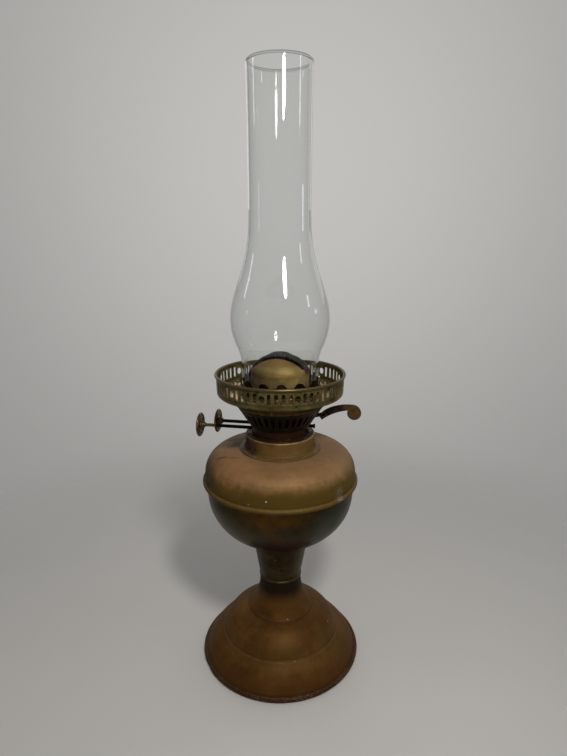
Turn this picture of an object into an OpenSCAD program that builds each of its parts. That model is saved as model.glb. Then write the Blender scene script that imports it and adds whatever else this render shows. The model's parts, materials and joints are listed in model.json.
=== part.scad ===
// Twin-wick table oil lamp with a glass chimney.
// Millimetres, +Z up, lamp axis on Z, table at z = 0.
// The wick raisers come out at -X, the extinguisher lever at +X, the front wick is at -Y.

/* [Foot] */
// Outer radius of the foot's rolled rim
foot_r = 74; // [73:0.5:75]
// Radius of the lower crease between the skirt and the second dome
crease_low_r = 53; // [52:0.5:54]
// Height of the lower crease
crease_low_z = 26.2; // [25.6:0.2:26.8]
// Radius of the upper crease
crease_high_r = 30.4; // [29.8:0.2:31]
// Height of the upper crease
crease_high_z = 46.8; // [46:0.2:47.4]
// Height of the foot's top flange
foot_h = 78.8; // [78.4:0.2:79.2]
// Sheet thickness of the spun brass
sheet = 1; // [0.8:0.1:1.2]

/* [Font] */
// Outer radius of the bowl's straight side
bowl_r = 65; // [64.5:0.5:65.5]
// Radius of the curve of the bowl
bowl_curve = 48; // [47:0.5:49]
// Height at which the bowl starts to curve
bowl_z = 168; // [167.5:0.5:168.5]
// Height of the top of the shoulder
shoulder_z = 206; // [205.6:0.2:206.4]
// Radius of the shoulder's corner
shoulder_curve = 19.5; // [19:0.5:20]
// Radius of the neck
neck_r = 30.3; // [30.2:0.1:30.6]

/* [Burner] */
// Outer radius of the burner's drum
drum_r = 25; // [24.9:0.1:25.2]
// Number of air slots in the basket
basket_slots = 36; // [32:4:40]
// Width of an air slot
slot_w = 3; // [2:0.2:3.2]
// Height of the two wick-raiser spindles
spindle_z = 224.5; // [224.3:0.1:224.7]
// Distance of each spindle from the lamp's middle plane
spindle_y = 6.6; // [6.5:0.05:6.6]
// Radius of a spindle
spindle_r = 1.5; // [1.4:0.05:1.5]
// Distance of each wick from the lamp's middle plane
wick_y = 10.55; // [10.55:0.05:10.7]
// Radius of a winder knob
knob_r = 10.5; // [10:0.1:10.8]
// Position of the front knob
knob_front_x = -70.8; // [-72:0.2:-70]
// Position of the rear knob
knob_rear_x = -58.3; // [-59:0.1:-57.6]

/* [Gallery] */
// Outer radius of the gallery's lip
lip_r = 56; // [55.8:0.1:56.2]
// Number of round holes in the band
round_holes = 12; // [10:2:12]
// Radius of a round hole
round_hole_r = 2.8; // [2.4:0.1:2.8]
// Width of a tall hole
bar_w = 2.8; // [2.2:0.1:2.8]
// Height of a tall hole
bar_h = 8.8; // [8:0.2:9]
// Number of spring fingers round the chimney
fingers = 14; // [12:1:14]

/* [Chimney] */
// Outer radius of the chimney's foot
fitter_r = 33; // [32.9:0.05:33]
// Outer radius of the bulge
bulge_r = 41.5; // [41:0.25:42]
// Outer radius of the tube
tube_r = 25; // [24.8:0.1:25.2]
// Top of the chimney
chimney_top = 513; // [505:1:520]
// Glass thickness
glass = 1.7; // [1.6:0.05:1.8]

/* [Hidden] */
$fn = 96;
floor_z = 259;
neck_top = 220;
basket_z0 = 221;
cone_z0 = 228.6;
cone_r0 = 26.6;
cone_z1 = 244.6;
cone_r1 = 36.7;
cone_slope = (cone_r1 - cone_r0) / (cone_z1 - cone_z0);
cone_wall = 0.8 * sqrt(1 + cone_slope * cone_slope);
bead_c = [35.9, 246.2];
seat_z = 247.6;
dome_wall = 0.8;
// the dome's side, its rounded shoulder and its flatter crown
dome_r = 25;
shoulder_r = 10;
crown_r = 31;
shoulder_at = [dome_r - shoulder_r, 274.9];
crown_turn = acos(shoulder_at[0] / (crown_r - shoulder_r));
crown_at = [0, shoulder_at[1] - (crown_r - shoulder_r) * sin(crown_turn)];
pivot = [27, 236];
lever_reach = 17;
lever_tilt = 13.5;
tip = [pivot[0] - lever_reach * cos(lever_tilt), pivot[1] - lever_reach * sin(lever_tilt)];
tube_end = 12.7;

function flip(p) = [for (i = [len(p) - 1:-1:0]) p[i]];
function rest_of(p) = [for (i = [1:len(p) - 1]) p[i]];
// points of an arc about c
function round_pts(c, r, a0, a1, n) = [for (i = [0:n]) c + r * [cos(a0 + (a1 - a0) * i / n), sin(a0 + (a1 - a0) * i / n)]];
// points of an arc from p0 to p1; b is its rise, positive to the right of the way it runs
function bow(p0, p1, b, n) =
    let (d = p1 - p0, l = norm(d), m = (p0 + p1) / 2, k = [d[1], -d[0]] / l,
         h = abs(b), r = (l * l / 4 + h * h) / (2 * h), c = m + k * sign(b) * (h - r),
         a0 = atan2(p0[1] - c[1], p0[0] - c[0]), a1 = atan2(p1[1] - c[1], p1[0] - c[0]),
         da = (a1 - a0 + 540) % 360 - 180)
    [for (i = [0:n]) c + r * [cos(a0 + da * i / n), sin(a0 + da * i / n)]];
// the same path moved to its left by t
function inset(p, t) = [for (i = [0:len(p) - 1])
    let (d = p[min(i + 1, len(p) - 1)] - p[max(i - 1, 0)]) p[i] + t * [-d[1], d[0]] / norm(d)];

rim_c = [foot_r - 2.6, 2.6];
foot_path = concat(
    bow([rim_c[0], 4.7], [crease_low_r, crease_low_z], 2.2, 9),
    rest_of(bow([crease_low_r, crease_low_z], [crease_high_r, crease_high_z], 4.2, 9)),
    rest_of(bow([crease_high_r, crease_high_z], [19, foot_h - 1.2], -3, 9)),
    [[18.6, foot_h]]);
foot_in = inset(foot_path, sheet);

// flat tube section: straight middle with round ends, h is half its thickness
module flat(h) {
    square([2 * tube_end, 2 * h], center = true);
    translate([tube_end, 0]) circle(h);
    translate([-tube_end, 0]) circle(h);
}
module along_x(x, y, z) translate([x, y, z]) rotate([0, 90, 0]) children();
module along_y(y) translate([0, y, 0]) rotate([90, 0, 0]) children();
module box2(r0, r1, z0, z1) translate([r0, z0]) square([r1 - r0, z1 - z0]);

// ---------------------------------------------------------------- foot and stem
module foot_shell() color([0.38, 0.26, 0.13]) rotate_extrude() {
    polygon(concat(foot_path, flip(foot_in)));
    box2(4, 18.3, foot_h - sheet, foot_h);
    difference() {
        translate(rim_c) circle(2.6);
        translate(rim_c) circle(1.4);
    }
}

module rim_wire() color([0.4, 0.4, 0.4]) rotate_extrude() translate(rim_c) circle(1.4);

module foot_weight() color([0.25, 0.25, 0.26]) rotate_extrude() {
    box2(9, 66, 1, 6);
    intersection() {
        polygon(concat([[0, 4]], foot_in, [[0, foot_h - 1]]));
        box2(9, 66, 5, 14);
    }
    box2(3.4, 14, 9, 34);
}

module base_felt() color([0.12, 0.3, 0.16]) cylinder(r = 69.2, h = 1);

module tie_rod() color([0.5, 0.5, 0.5]) translate([0, 0, 2.5]) cylinder(r = 3, h = 114);

module tie_washer() color([0.55, 0.55, 0.55]) translate([0, 0, 8]) difference() {
    cylinder(r = 8, h = 1);
    translate([0, 0, -1]) cylinder(r = 3.2, h = 3);
}

module tie_nut() color([0.5, 0.5, 0.5]) translate([0, 0, 3.5]) difference() {
    cylinder(r = 5.8, h = 4.5, $fn = 6);
    translate([0, 0, -1]) cylinder(r = 3, h = 7);
}

cup_path = [[18.6, foot_h + 1.6], [25.8, 120.5]];
module stem_cup() color([0.35, 0.27, 0.15]) rotate_extrude() {
    polygon(concat(cup_path, [[24.8, 120.5], [17.6, foot_h + 1.6]]));
    box2(4, 18.2, foot_h, foot_h + 1.2);
    translate([18.3, foot_h + 1.3]) circle(1.3);
}

// ---------------------------------------------------------------- font
bowl_c = [bowl_r - bowl_curve, bowl_z];
bowl_bottom = bowl_z - bowl_curve;

module font_boss() color([0.6, 0.45, 0.22]) difference() {
    union() {
        translate([0, 0, 107]) cylinder(r = 7, h = bowl_bottom - 107);
        translate([0, 0, bowl_bottom - 1.2]) cylinder(r = 11, h = 1.2);
    }
    translate([0, 0, 100]) cylinder(r = 3, h = 17);
}

module font_lower() color([0.26, 0.19, 0.12]) rotate_extrude() polygon(concat(
    [[0, bowl_bottom]], round_pts(bowl_c, bowl_curve, -90, 0, 18),
    [[bowl_r, 177], [bowl_r + 3, 177], [bowl_r + 3, 177.8], [bowl_r - sheet, 177.8]],
    flip(round_pts(bowl_c, bowl_curve - sheet, -90, 0, 18)), [[0, bowl_bottom + sheet]]));

shoulder_c = [66.5 - shoulder_curve, shoulder_z - 1.4 - shoulder_curve * sin(80)];
shoulder_path = concat([[66.6, 178.6]], round_pts(shoulder_c, shoulder_curve, 0, 80, 16),
    rest_of(bow(shoulder_c + shoulder_curve * [cos(80), sin(80)], [36.5, shoulder_z], 0.25, 4)), [[29.5, shoulder_z]]);
module font_upper() color([0.5, 0.36, 0.2]) rotate_extrude() {
    polygon(concat(shoulder_path, flip(inset(shoulder_path, sheet))));
    difference() {
        translate([66.9, 177.4]) circle(2.1);
        box2(60, bowl_r, 170, 177.8);
        box2(bowl_r - 1, bowl_r + 3, 177, 177.8);
    }
}

neck_path = concat([[34.6, shoulder_z + 1.9], [33.6, shoulder_z + 2.3]],
    rest_of(bow([33.6, shoulder_z + 2.3], [neck_r, 213], -0.9, 6)),
    [[neck_r, 218.9]], rest_of(round_pts([neck_r - 1.1, 218.9], 1.1, 0, 90, 5)));
module font_neck() color([0.5, 0.35, 0.19]) rotate_extrude() {
    polygon(concat(neck_path, [[27.4, neck_top], [27.4, 218.9]],
        [[neck_r - 1.1, 218.9], [neck_r - 1.1, 213], [31.4, 208.4], [31.4, shoulder_z], [35, shoulder_z], [35.6, shoulder_z + 0.5], [35.6, shoulder_z + 1.4]]));
}

module font_collar() color([0.55, 0.42, 0.22]) translate([0, 0, 213]) difference() {
    cylinder(r = neck_r - 1.1, h = 5.9);
    translate([0, 0, -1]) cylinder(r = 26.35, h = 8);
}

// ---------------------------------------------------------------- burner
module burner_collar() color([0.16, 0.12, 0.08]) rotate_extrude() polygon([
    [24.9, 209], [26, 209], [26, neck_top], [29.2, neck_top], [29.2, neck_top + 0.7],
    [28.8, neck_top + 1], [23.6, neck_top + 1], [23.6, neck_top + 0.2], [24.9, neck_top - 0.8]]);

module burner_floor() color([0.3, 0.24, 0.14]) translate([0, 0, 213]) difference() {
    cylinder(r = 24.9, h = 1);
    for (s = [-1, 1]) translate([0, s * wick_y, -1]) linear_extrude(3) flat(2.1);
}

module basket() color([0.08, 0.07, 0.06]) difference() {
    rotate_extrude() {
        box2(drum_r - 0.8, drum_r, basket_z0, cone_z0);
        polygon([[drum_r - 0.8, cone_z0 - 0.8], [drum_r, cone_z0 - 0.8], [cone_r0, cone_z0 + 0.2],
            [cone_r1, cone_z1], [cone_r1, bead_c[1]], [cone_r1 - cone_wall, bead_c[1]], [cone_r1 - cone_wall, cone_z1],
            [cone_r0 - cone_wall, cone_z0 + 0.4]]);
        intersection() {
            translate(bead_c) circle(1.6);
            box2(30, 40, 240, seat_z);
        }
    }
    for (i = [1:basket_slots - 1]) rotate([0, 0, i * 360 / basket_slots])
        translate([24, -slot_w / 2, 232.6]) cube([16, slot_w, 10.4]);
    translate([24, -1.1, 230]) cube([16, 2.2, 13]);
    for (s = [-1, 1]) along_x(-40, s * spindle_y, spindle_z) cylinder(r = spindle_r + 0.05, h = 80);
}

module air_plate() color([0.25, 0.2, 0.1]) translate([0, 0, 243.2]) difference() {
    cylinder(r = cone_r0 - cone_wall + (243.2 - cone_z0) * cone_slope, h = 0.8);
    for (s = [-1, 1]) {
        translate([0, s * wick_y, -1]) linear_extrude(3) flat(2.1);
        translate([7, s > 0 ? 6.2 : -wick_y, -1]) cube([6.5, wick_y - 6.2, 3]);
    }
    for (i = [0:19]) rotate([0, 0, 9 + i * 18]) translate([23.5, 0, -1]) cylinder(r = 1.2, h = 3, $fn = 24);
    for (i = [0:27]) rotate([0, 0, i * 90 / 7]) translate([30.5, 0, -1]) cylinder(r = 1.2, h = 3, $fn = 24);
}

module wick_tube(side) translate([0, side * wick_y, 196]) difference() {
    linear_extrude(76) flat(2.1);
    translate([0, 0, -1]) linear_extrude(78) flat(1.6);
    for (x = [-9, 9]) translate([x - 1.6, side > 0 ? -3 : 1, spindle_z - 196 - 2.6]) cube([3.2, 2, 5.2]);
}
module wick_tube_front() color([0.55, 0.43, 0.22]) wick_tube(-1);
module wick_tube_rear() color([0.55, 0.43, 0.22]) wick_tube(1);

module lever_bracket() color([0.14, 0.11, 0.08]) difference() {
    intersection() {
        translate([24.4, -1.9, 231]) cube([8, 3.8, 7.6]);
        rotate_extrude() polygon([[0, cone_z0 + 0.4], [cone_r0 - cone_wall, cone_z0 + 0.4], [cone_r1 - cone_wall, cone_z1], [0, cone_z1]]);
    }
    translate([20, -0.9, 232]) cube([14, 1.8, 10]);
    translate([pivot[0], 0, pivot[1]]) rotate([90, 0, 0]) cylinder(r = 1.2, h = 8, center = true);
}

module lever_pin() color([0.2, 0.16, 0.1]) translate([pivot[0], 0, pivot[1]]) rotate([90, 0, 0]) {
    cylinder(r = 1.2, h = 4.6, center = true);
    for (s = [0, 1]) mirror([0, 0, s]) translate([0, 0, 1.9]) cylinder(r = 1.8, h = 0.6);
}

// ---------------------------------------------------------------- wick raisers
module spindle(side, x0, x1) along_x(x0, side * spindle_y, spindle_z) cylinder(r = spindle_r, h = x1 - x0);
module spindle_front() color([0.07, 0.06, 0.05]) spindle(-1, knob_front_x - 1.9, 26.4);
module spindle_rear() color([0.07, 0.06, 0.05]) {
    spindle(1, knob_rear_x - 1.9, 30);
    along_x(28.6, spindle_y, spindle_z) cylinder(r = 2, h = 1.4);
}

module knob(side, x) along_x(x, side * spindle_y, spindle_z) rotate_extrude() {
    box2(spindle_r, 9.4, -0.6, 0.6);
    translate([knob_r - 1, 0]) circle(1);
    translate([6.4, 0]) circle(0.9);
    box2(spindle_r, 3.4, -1.4, 3.2);
    box2(spindle_r, 2.4, 3, 4.6);
}
module knob_front() color([0.3, 0.24, 0.15]) knob(-1, knob_front_x);
module knob_rear() color([0.2, 0.17, 0.11]) knob(1, knob_rear_x);

module feed_wheel(side, x) along_x(x - 1, side * spindle_y, spindle_z) linear_extrude(2) difference() {
    polygon([for (i = [0:23]) (i % 2 == 0 ? 2.5 : 2.05) * [cos(i * 15), sin(i * 15)]]);
    circle(spindle_r);
}
module feed_wheel_front_left() color([0.4, 0.33, 0.2]) feed_wheel(-1, -9);
module feed_wheel_front_right() color([0.4, 0.33, 0.2]) feed_wheel(-1, 9);
module feed_wheel_rear_left() color([0.4, 0.33, 0.2]) feed_wheel(1, -9);
module feed_wheel_rear_right() color([0.4, 0.33, 0.2]) feed_wheel(1, 9);

// ---------------------------------------------------------------- wicks
module wick(side) translate([0, side * wick_y, 132]) linear_extrude(141) flat(1.3);
module wick_front() color([0.8, 0.76, 0.66]) wick(-1);
module wick_rear() color([0.8, 0.76, 0.66]) wick(1);

// ---------------------------------------------------------------- extinguisher
// straight strip in the X-Z plane from a to b, w is half its width
module strip(a, b, w) {
    d = b - a;
    translate(a) rotate(atan2(d[1], d[0])) translate([0, -w]) square([norm(d), 2 * w]);
}
rivet_at = [38, 238.2];
module lever_arm() color([0.1, 0.08, 0.06]) along_y(0.6) linear_extrude(1.2) difference() {
    union() {
        translate(tip) circle(1.5);
        strip(tip, pivot, 1);
        translate(pivot) circle(2.9);
        strip(pivot, rivet_at, 1.6);
        translate(rivet_at) circle(1.9);
    }
    translate(pivot) circle(1.25);
    translate(rivet_at) circle(0.9);
}

thumb_c = [64, 241];
thumb_r = 5.9;
thumb_end = thumb_c + thumb_r * [cos(15), sin(15)];
thumb_hook = thumb_c + thumb_r * [cos(158), sin(158)];
module lever_thumb() color([0.2, 0.14, 0.09]) along_y(-0.6) linear_extrude(1.4) difference() {
    polygon(concat(
        bow([33.9, 237.6], [47, 246.4], -1.2, 6),
        rest_of(bow([47, 246.4], [61.5, 248.4], -0.7, 6)),
        rest_of(bow([61.5, 248.4], thumb_end, -2, 6)),
        rest_of(round_pts(thumb_c, thumb_r, 15, -202, 24)),
        rest_of(flip(bow([36.6, 233.6], thumb_hook, -1.7, 8)))));
    translate(rivet_at) circle(0.9);
}

module lever_rivet() color([0.25, 0.2, 0.12]) translate([rivet_at[0], 0, rivet_at[1]]) rotate([90, 0, 0]) {
    translate([0, 0, -1.1]) cylinder(r = 0.9, h = 3.6);
    translate([0, 0, 2]) cylinder(r = 1.5, h = 0.5);
    translate([0, 0, -1.1]) cylinder(r = 1.5, h = 0.5);
}

module snuffer(side) translate([0, side * wick_y, 256]) difference() {
    linear_extrude(15.4) flat(2.9);
    translate([0, 0, -1]) linear_extrude(18) flat(2.4);
}
module snuffer_front() color([0.45, 0.35, 0.18]) snuffer(-1);
module snuffer_rear() color([0.45, 0.35, 0.18]) snuffer(1);

yoke_y = wick_y - 2.9;
yoke_z = tip[1] + 1.5 + 0.32;
module snuffer_yoke() color([0.35, 0.28, 0.15]) {
    translate([8, -yoke_y, yoke_z]) cube([4.4, 2 * yoke_y, 1]);
    for (s = [0, 1]) mirror([0, s, 0]) translate([8, yoke_y - 0.8, yoke_z]) cube([4.4, 0.8, 262 - yoke_z]);
}

// ---------------------------------------------------------------- gallery
trough_c = [51.2, floor_z - 0.6];
module gallery_ring() color([0.35, 0.3, 0.14]) difference() {
    rotate_extrude() {
        polygon(concat([[30.2, floor_z - 1], [45.9, floor_z - 1]],
            round_pts(trough_c, 3, -120, 0, 8), [[54.6, 271.6], [53.8, 271.6]],
            flip(round_pts(trough_c, 2.2, -120, 0, 8)), [[45.8, floor_z], [30.2, floor_z]]));
        translate([lip_r - 1.6, 272.6]) circle(1.6);
    }
    for (k = [0:round_holes - 1]) rotate([0, 0, 25 + k * 360 / round_holes]) {
        translate([50, 0, 265.4]) rotate([0, 90, 0]) cylinder(r = round_hole_r, h = 8);
        for (j = [1:4]) rotate([0, 0, j * 72 / round_holes])
            translate([50, -bar_w / 2, 265.4 - bar_h / 2]) cube([8, bar_w, bar_h]);
    }
}

module gallery_collar() color([0.3, 0.22, 0.1]) difference() {
    rotate_extrude() {
        box2(37.9, 38.7, seat_z - 0.8, floor_z - 1);
        box2(28, 38, seat_z, seat_z + 0.8);
    }
    for (k = [0:3]) rotate([0, 0, 45 + 90 * k]) translate([29.6, 0, 240]) cylinder(r = 1, h = 12, $fn = 24);
}

// half section of the dome's outside, t further in
function dome_path(t) = concat([[dome_r - t, seat_z + dome_wall]],
    round_pts(shoulder_at, shoulder_r - t, 0, crown_turn, 8),
    rest_of(round_pts(crown_at, crown_r - t, crown_turn, 90, 12)));
module dome() color([0.6, 0.5, 0.24]) difference() {
    rotate_extrude() {
        polygon(concat(dome_path(0), flip(dome_path(dome_wall))));
        box2(dome_r - 0.4, 31.4, seat_z + dome_wall, seat_z + 2 * dome_wall);
    }
    for (s = [-1, 1]) translate([-21.5, s * 9.8 - 2.5, 279.5]) cube([43, 5, 20]);
    for (k = [0:3]) rotate([0, 0, 45 + 90 * k]) translate([29.6, 0, 240]) cylinder(r = 1, h = 12, $fn = 24);
}

module dome_rivet(k) rotate([0, 0, 45 + 90 * k]) translate([29.6, 0, seat_z - 0.7]) {
    cylinder(r = 1, h = 3, $fn = 24);
    cylinder(r = 1.6, h = 0.7, $fn = 24);
    translate([0, 0, 2.3]) cylinder(r = 1.6, h = 0.7, $fn = 24);
}
module dome_rivet_1() color([0.5, 0.4, 0.2]) dome_rivet(0);
module dome_rivet_2() color([0.5, 0.4, 0.2]) dome_rivet(1);
module dome_rivet_3() color([0.5, 0.4, 0.2]) dome_rivet(2);
module dome_rivet_4() color([0.5, 0.4, 0.2]) dome_rivet(3);

// half of a finger's outline, up from the floor
finger_edge = [[6.2, -1], [6.2, 5.2], [5.85, 7.2], [5.07, 9.2], [3.77, 11.2], [2.72, 12.2], [1.4, 12.95]];
module chimney_crown() color([0.3, 0.23, 0.12]) {
    difference() {
        translate([0, 0, floor_z]) cylinder(r = 36.8, h = 0.7);
        translate([0, 0, floor_z - 1]) cylinder(r = fitter_r + 0.4, h = 3);
    }
    intersection() {
        difference() {
            translate([0, 0, floor_z]) cylinder(r = fitter_r + 1, h = 14);
            translate([0, 0, floor_z - 1]) cylinder(r = fitter_r + 0.4, h = 16);
        }
        union() for (i = [0:fingers - 1]) rotate([0, 0, 282 + i * 360 / fingers]) {
            translate([30, 0, floor_z]) rotate([90, 0, 90]) linear_extrude(8) polygon(concat(finger_edge,
                [[0, 13.2]], [for (i = [len(finger_edge) - 1:-1:0]) [-finger_edge[i][0], finger_edge[i][1]]]));
        }
    }
}

// ---------------------------------------------------------------- chimney
chimney_path = concat(
    [[fitter_r, floor_z + 0.8]], bow([fitter_r, 284], [36.4, 297], -0.7, 6),
    rest_of(bow([36.4, 297], [bulge_r, 319.5], 1.2, 8)), rest_of(bow([bulge_r, 319.5], [39, 336], 0.6, 6)),
    rest_of(bow([39, 336], [30.6, 363], 0.1, 3)), rest_of(bow([30.6, 363], [tube_r + 0.2, 394], -1.3, 8)),
    [[tube_r, 402], [tube_r - 0.1, 440], [tube_r + 0.2, 480], [tube_r + 0.5, chimney_top - 0.8]]);
module chimney() color([0.85, 0.92, 0.92, 0.35]) rotate_extrude() {
    polygon(concat(chimney_path, flip(inset(chimney_path, glass))));
    translate([fitter_r - 0.9, floor_z + 0.9]) intersection() {
        circle(0.9);
        translate([-2, -0.9]) square([4, 3]);
    }
    translate([tube_r - 0.4, chimney_top - 1]) circle(1);
}

foot_shell();
rim_wire();
foot_weight();
base_felt();
tie_rod();
tie_washer();
tie_nut();
stem_cup();
font_boss();
font_lower();
font_upper();
font_neck();
font_collar();
burner_collar();
burner_floor();
basket();
air_plate();
wick_tube_front();
wick_tube_rear();
lever_bracket();
lever_pin();
spindle_front();
spindle_rear();
knob_front();
knob_rear();
feed_wheel_front_left();
feed_wheel_front_right();
feed_wheel_rear_left();
feed_wheel_rear_right();
wick_front();
wick_rear();
lever_arm();
lever_thumb();
lever_rivet();
snuffer_front();
snuffer_rear();
snuffer_yoke();
gallery_ring();
gallery_collar();
dome();
dome_rivet_1();
dome_rivet_2();
dome_rivet_3();
dome_rivet_4();
chimney_crown();
chimney();
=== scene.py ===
import json
import math

import bmesh
import bpy
from mathutils import Matrix, Vector, noise


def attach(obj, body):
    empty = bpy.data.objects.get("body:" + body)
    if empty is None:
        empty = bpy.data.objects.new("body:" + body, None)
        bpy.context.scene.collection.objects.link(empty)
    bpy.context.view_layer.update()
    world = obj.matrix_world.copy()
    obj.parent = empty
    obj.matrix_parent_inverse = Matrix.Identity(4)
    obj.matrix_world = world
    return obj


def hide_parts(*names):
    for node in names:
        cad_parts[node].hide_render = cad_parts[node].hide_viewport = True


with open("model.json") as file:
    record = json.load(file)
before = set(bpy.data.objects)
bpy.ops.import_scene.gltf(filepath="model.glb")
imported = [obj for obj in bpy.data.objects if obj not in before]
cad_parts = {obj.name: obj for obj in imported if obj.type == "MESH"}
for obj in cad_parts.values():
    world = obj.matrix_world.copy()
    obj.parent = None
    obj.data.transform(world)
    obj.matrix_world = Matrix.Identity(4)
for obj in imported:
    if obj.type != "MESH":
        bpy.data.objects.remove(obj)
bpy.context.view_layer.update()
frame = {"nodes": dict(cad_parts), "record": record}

SCENE = bpy.context.scene
NODES = frame["nodes"]
BODY = {n: b for b, ns in frame["record"]["behaviour"]["bodies"].items() for n in ns}
MM = 0.001
PI2 = 2 * math.pi


# ------------------------------------------------------------------ camera
cam_data = bpy.data.cameras.new("camera")
cam_data.lens = 26.18
cam_data.sensor_width = 36.0
cam_data.clip_start = 0.01
cam = bpy.data.objects.new("camera", cam_data)
SCENE.collection.objects.link(cam)
cam.location = (0.0819, -0.4479, 0.3900)
cam.rotation_mode = "QUATERNION"
cam.rotation_quaternion = Vector((-0.1678, 0.9516, -0.2576)).to_track_quat("-Z", "Y")
SCENE.camera = cam


# ------------------------------------------------------------------ profiles, all in millimetres
def arc(c, r, a0, a1, n=12):
    return [(c[0] + r * math.cos(math.radians(a0 + (a1 - a0) * i / n)),
             c[1] + r * math.sin(math.radians(a0 + (a1 - a0) * i / n))) for i in range(n + 1)]


def bow(p0, p1, b, n=14):
    """Arc from p0 to p1; b is its rise, positive to the right of the way it runs."""
    dx, dy = p1[0] - p0[0], p1[1] - p0[1]
    l, h = math.hypot(dx, dy), abs(b)
    r = (l * l / 4 + h * h) / (2 * h)
    k = (dy / l, -dx / l)
    s = math.copysign(1, b) * (h - r)
    c = ((p0[0] + p1[0]) / 2 + k[0] * s, (p0[1] + p1[1]) / 2 + k[1] * s)
    a0 = math.atan2(p0[1] - c[1], p0[0] - c[0])
    a1 = math.atan2(p1[1] - c[1], p1[0] - c[0])
    da = (a1 - a0 + 3 * math.pi) % PI2 - math.pi
    return [(c[0] + r * math.cos(a0 + da * i / n), c[1] + r * math.sin(a0 + da * i / n)) for i in range(n + 1)]


def inset(p, t):
    out = []
    for i in range(len(p)):
        a, b = p[max(i - 1, 0)], p[min(i + 1, len(p) - 1)]
        dx, dy = b[0] - a[0], b[1] - a[1]
        l = math.hypot(dx, dy) or 1
        out.append((p[i][0] - t * dy / l, p[i][1] + t * dx / l))
    return out


def spline(pts, n=8):
    """Smooth curve through the points (centripetal Catmull-Rom)."""
    p = [pts[0]] + list(pts) + [pts[-1]]
    p[0] = (2 * pts[0][0] - pts[1][0], 2 * pts[0][1] - pts[1][1])
    p[-1] = (2 * pts[-1][0] - pts[-2][0], 2 * pts[-1][1] - pts[-2][1])
    out = []
    for i in range(1, len(p) - 2):
        q = [Vector(p[i + k]) for k in (-1, 0, 1, 2)]
        t = [0.0]
        for k in range(3):
            t.append(t[-1] + max((q[k + 1] - q[k]).length, 1e-6) ** 0.5)
        for s in range(n):
            x = t[1] + (t[2] - t[1]) * s / n
            a = [(q[k] * (t[k + 1] - x) + q[k + 1] * (x - t[k])) / (t[k + 1] - t[k]) for k in range(3)]
            b = [(a[k] * (t[k + 2] - x) + a[k + 1] * (x - t[k])) / (t[k + 2] - t[k]) for k in range(2)]
            c = (b[0] * (t[2] - x) + b[1] * (x - t[1])) / (t[2] - t[1])
            out.append((c.x, c.y))
    return out + [tuple(pts[-1])]


def join(*runs):
    """One path from several, without the doubled points."""
    out = []
    for run in runs:
        for p in run:
            if not out or math.hypot(p[0] - out[-1][0], p[1] - out[-1][1]) > 0.02:
                out.append(tuple(p))
    return out


# ------------------------------------------------------------------ meshes
def lathe(bm, prof, seg=192, closed=False, phase=0.0):
    rings = []
    for r, z in prof:
        if r < 1e-4:
            rings.append([bm.verts.new((0, 0, z))])
        else:
            rings.append([bm.verts.new((r * math.cos(phase + PI2 * i / seg), r * math.sin(phase + PI2 * i / seg), z))
                          for i in range(seg)])
    pairs = list(zip(rings, rings[1:])) + ([(rings[-1], rings[0])] if closed else [])
    for a, b in pairs:
        for i in range(seg):
            j = (i + 1) % seg
            if len(a) == 1 and len(b) == 1:
                continue
            if len(a) == 1:
                bm.faces.new((a[0], b[j], b[i]))
            elif len(b) == 1:
                bm.faces.new((a[i], a[j], b[0]))
            else:
                bm.faces.new((a[i], a[j], b[j], b[i]))


def tile_band(bm, count, phase, v0, v1, hole, place, radius, nu=4, nv=6, rings=2):
    """A band of tiles round the axis, each with a hole. hole(k) gives (centre v, half width, half height, corner radius).
    place(angle, v) puts a point of the sheet in space, and radius(v) is its distance from the axis."""
    step = PI2 / count
    cache = {}

    def vert(key, a, v):
        if key not in cache:
            cache[key] = bm.verts.new(place(a, v))
        return cache[key]

    for k in range(count):
        mid = phase + k * step
        loop = []                                     # (key, angle from the tile's middle, v)
        for i in range(nu):
            loop.append((("h", (k * nu + i) % (count * nu), 0), -step / 2 + step * i / nu, v0))
        for j in range(nv):
            key = ("h", ((k + 1) * nu) % (count * nu), 0) if j == 0 else ("v", (k + 1) % count, j)
            loop.append((key, step / 2, v0 + (v1 - v0) * j / nv))
        for i in range(nu, 0, -1):
            loop.append((("h", (k * nu + i) % (count * nu), 1), -step / 2 + step * i / nu, v1))
        for j in range(nv, 0, -1):
            key = ("h", (k * nu) % (count * nu), 1) if j == nv else ("v", k, j)
            loop.append((key, -step / 2, v0 + (v1 - v0) * j / nv))
        cv, hw, hh, rc = hole(k)
        rim = []
        for key, a, v in loop:
            u = a * radius(v)
            width = step / 2 * radius(v)
            y = (v - cv) / ((v1 - cv) if v > cv else (cv - v0))
            ax = max(-1, min(1, u / width)) * (hw - rc)
            ay = max(-1, min(1, y)) * (hh - rc)
            d = Vector((u - ax, v - cv - ay))
            if d.length < 1e-6:
                d = Vector((u, v - cv))
            d.normalize()
            hv = cv + ay + rc * d.y
            rim.append(((ax + rc * d.x) / radius(hv), hv))
        outer = [vert(key, mid + a, v) for key, a, v in loop]
        n = len(loop)
        last = outer
        for r in range(1, rings + 1):
            t = r / rings
            t = 1 - (1 - t) ** 1.6
            ring = []
            for m in range(n):
                a = loop[m][1] * (1 - t) + rim[m][0] * t
                v = loop[m][2] * (1 - t) + rim[m][1] * t
                ring.append(bm.verts.new(place(mid + a, v)))
            for m in range(n):
                o = (m + 1) % n
                bm.faces.new((last[m], last[o], ring[o], ring[m]))
            last = ring


def smooth_rand(p, scale, seed):
    return noise.noise(Vector((p[0] / scale + seed * 7.3, p[1] / scale - seed * 3.1, p[2] / scale + seed * 1.7)))


def wobble(bm, amount, scale, seed, keep=lambda v: 1.0):
    """Slight unevenness of hand-worked sheet: points move in or out from the axis."""
    for v in bm.verts:
        r = math.hypot(v.co.x, v.co.y)
        if r > 1:
            d = amount * smooth_rand(v.co, scale, seed) * keep(v.co)
            v.co.x += v.co.x / r * d
            v.co.y += v.co.y / r * d


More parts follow.
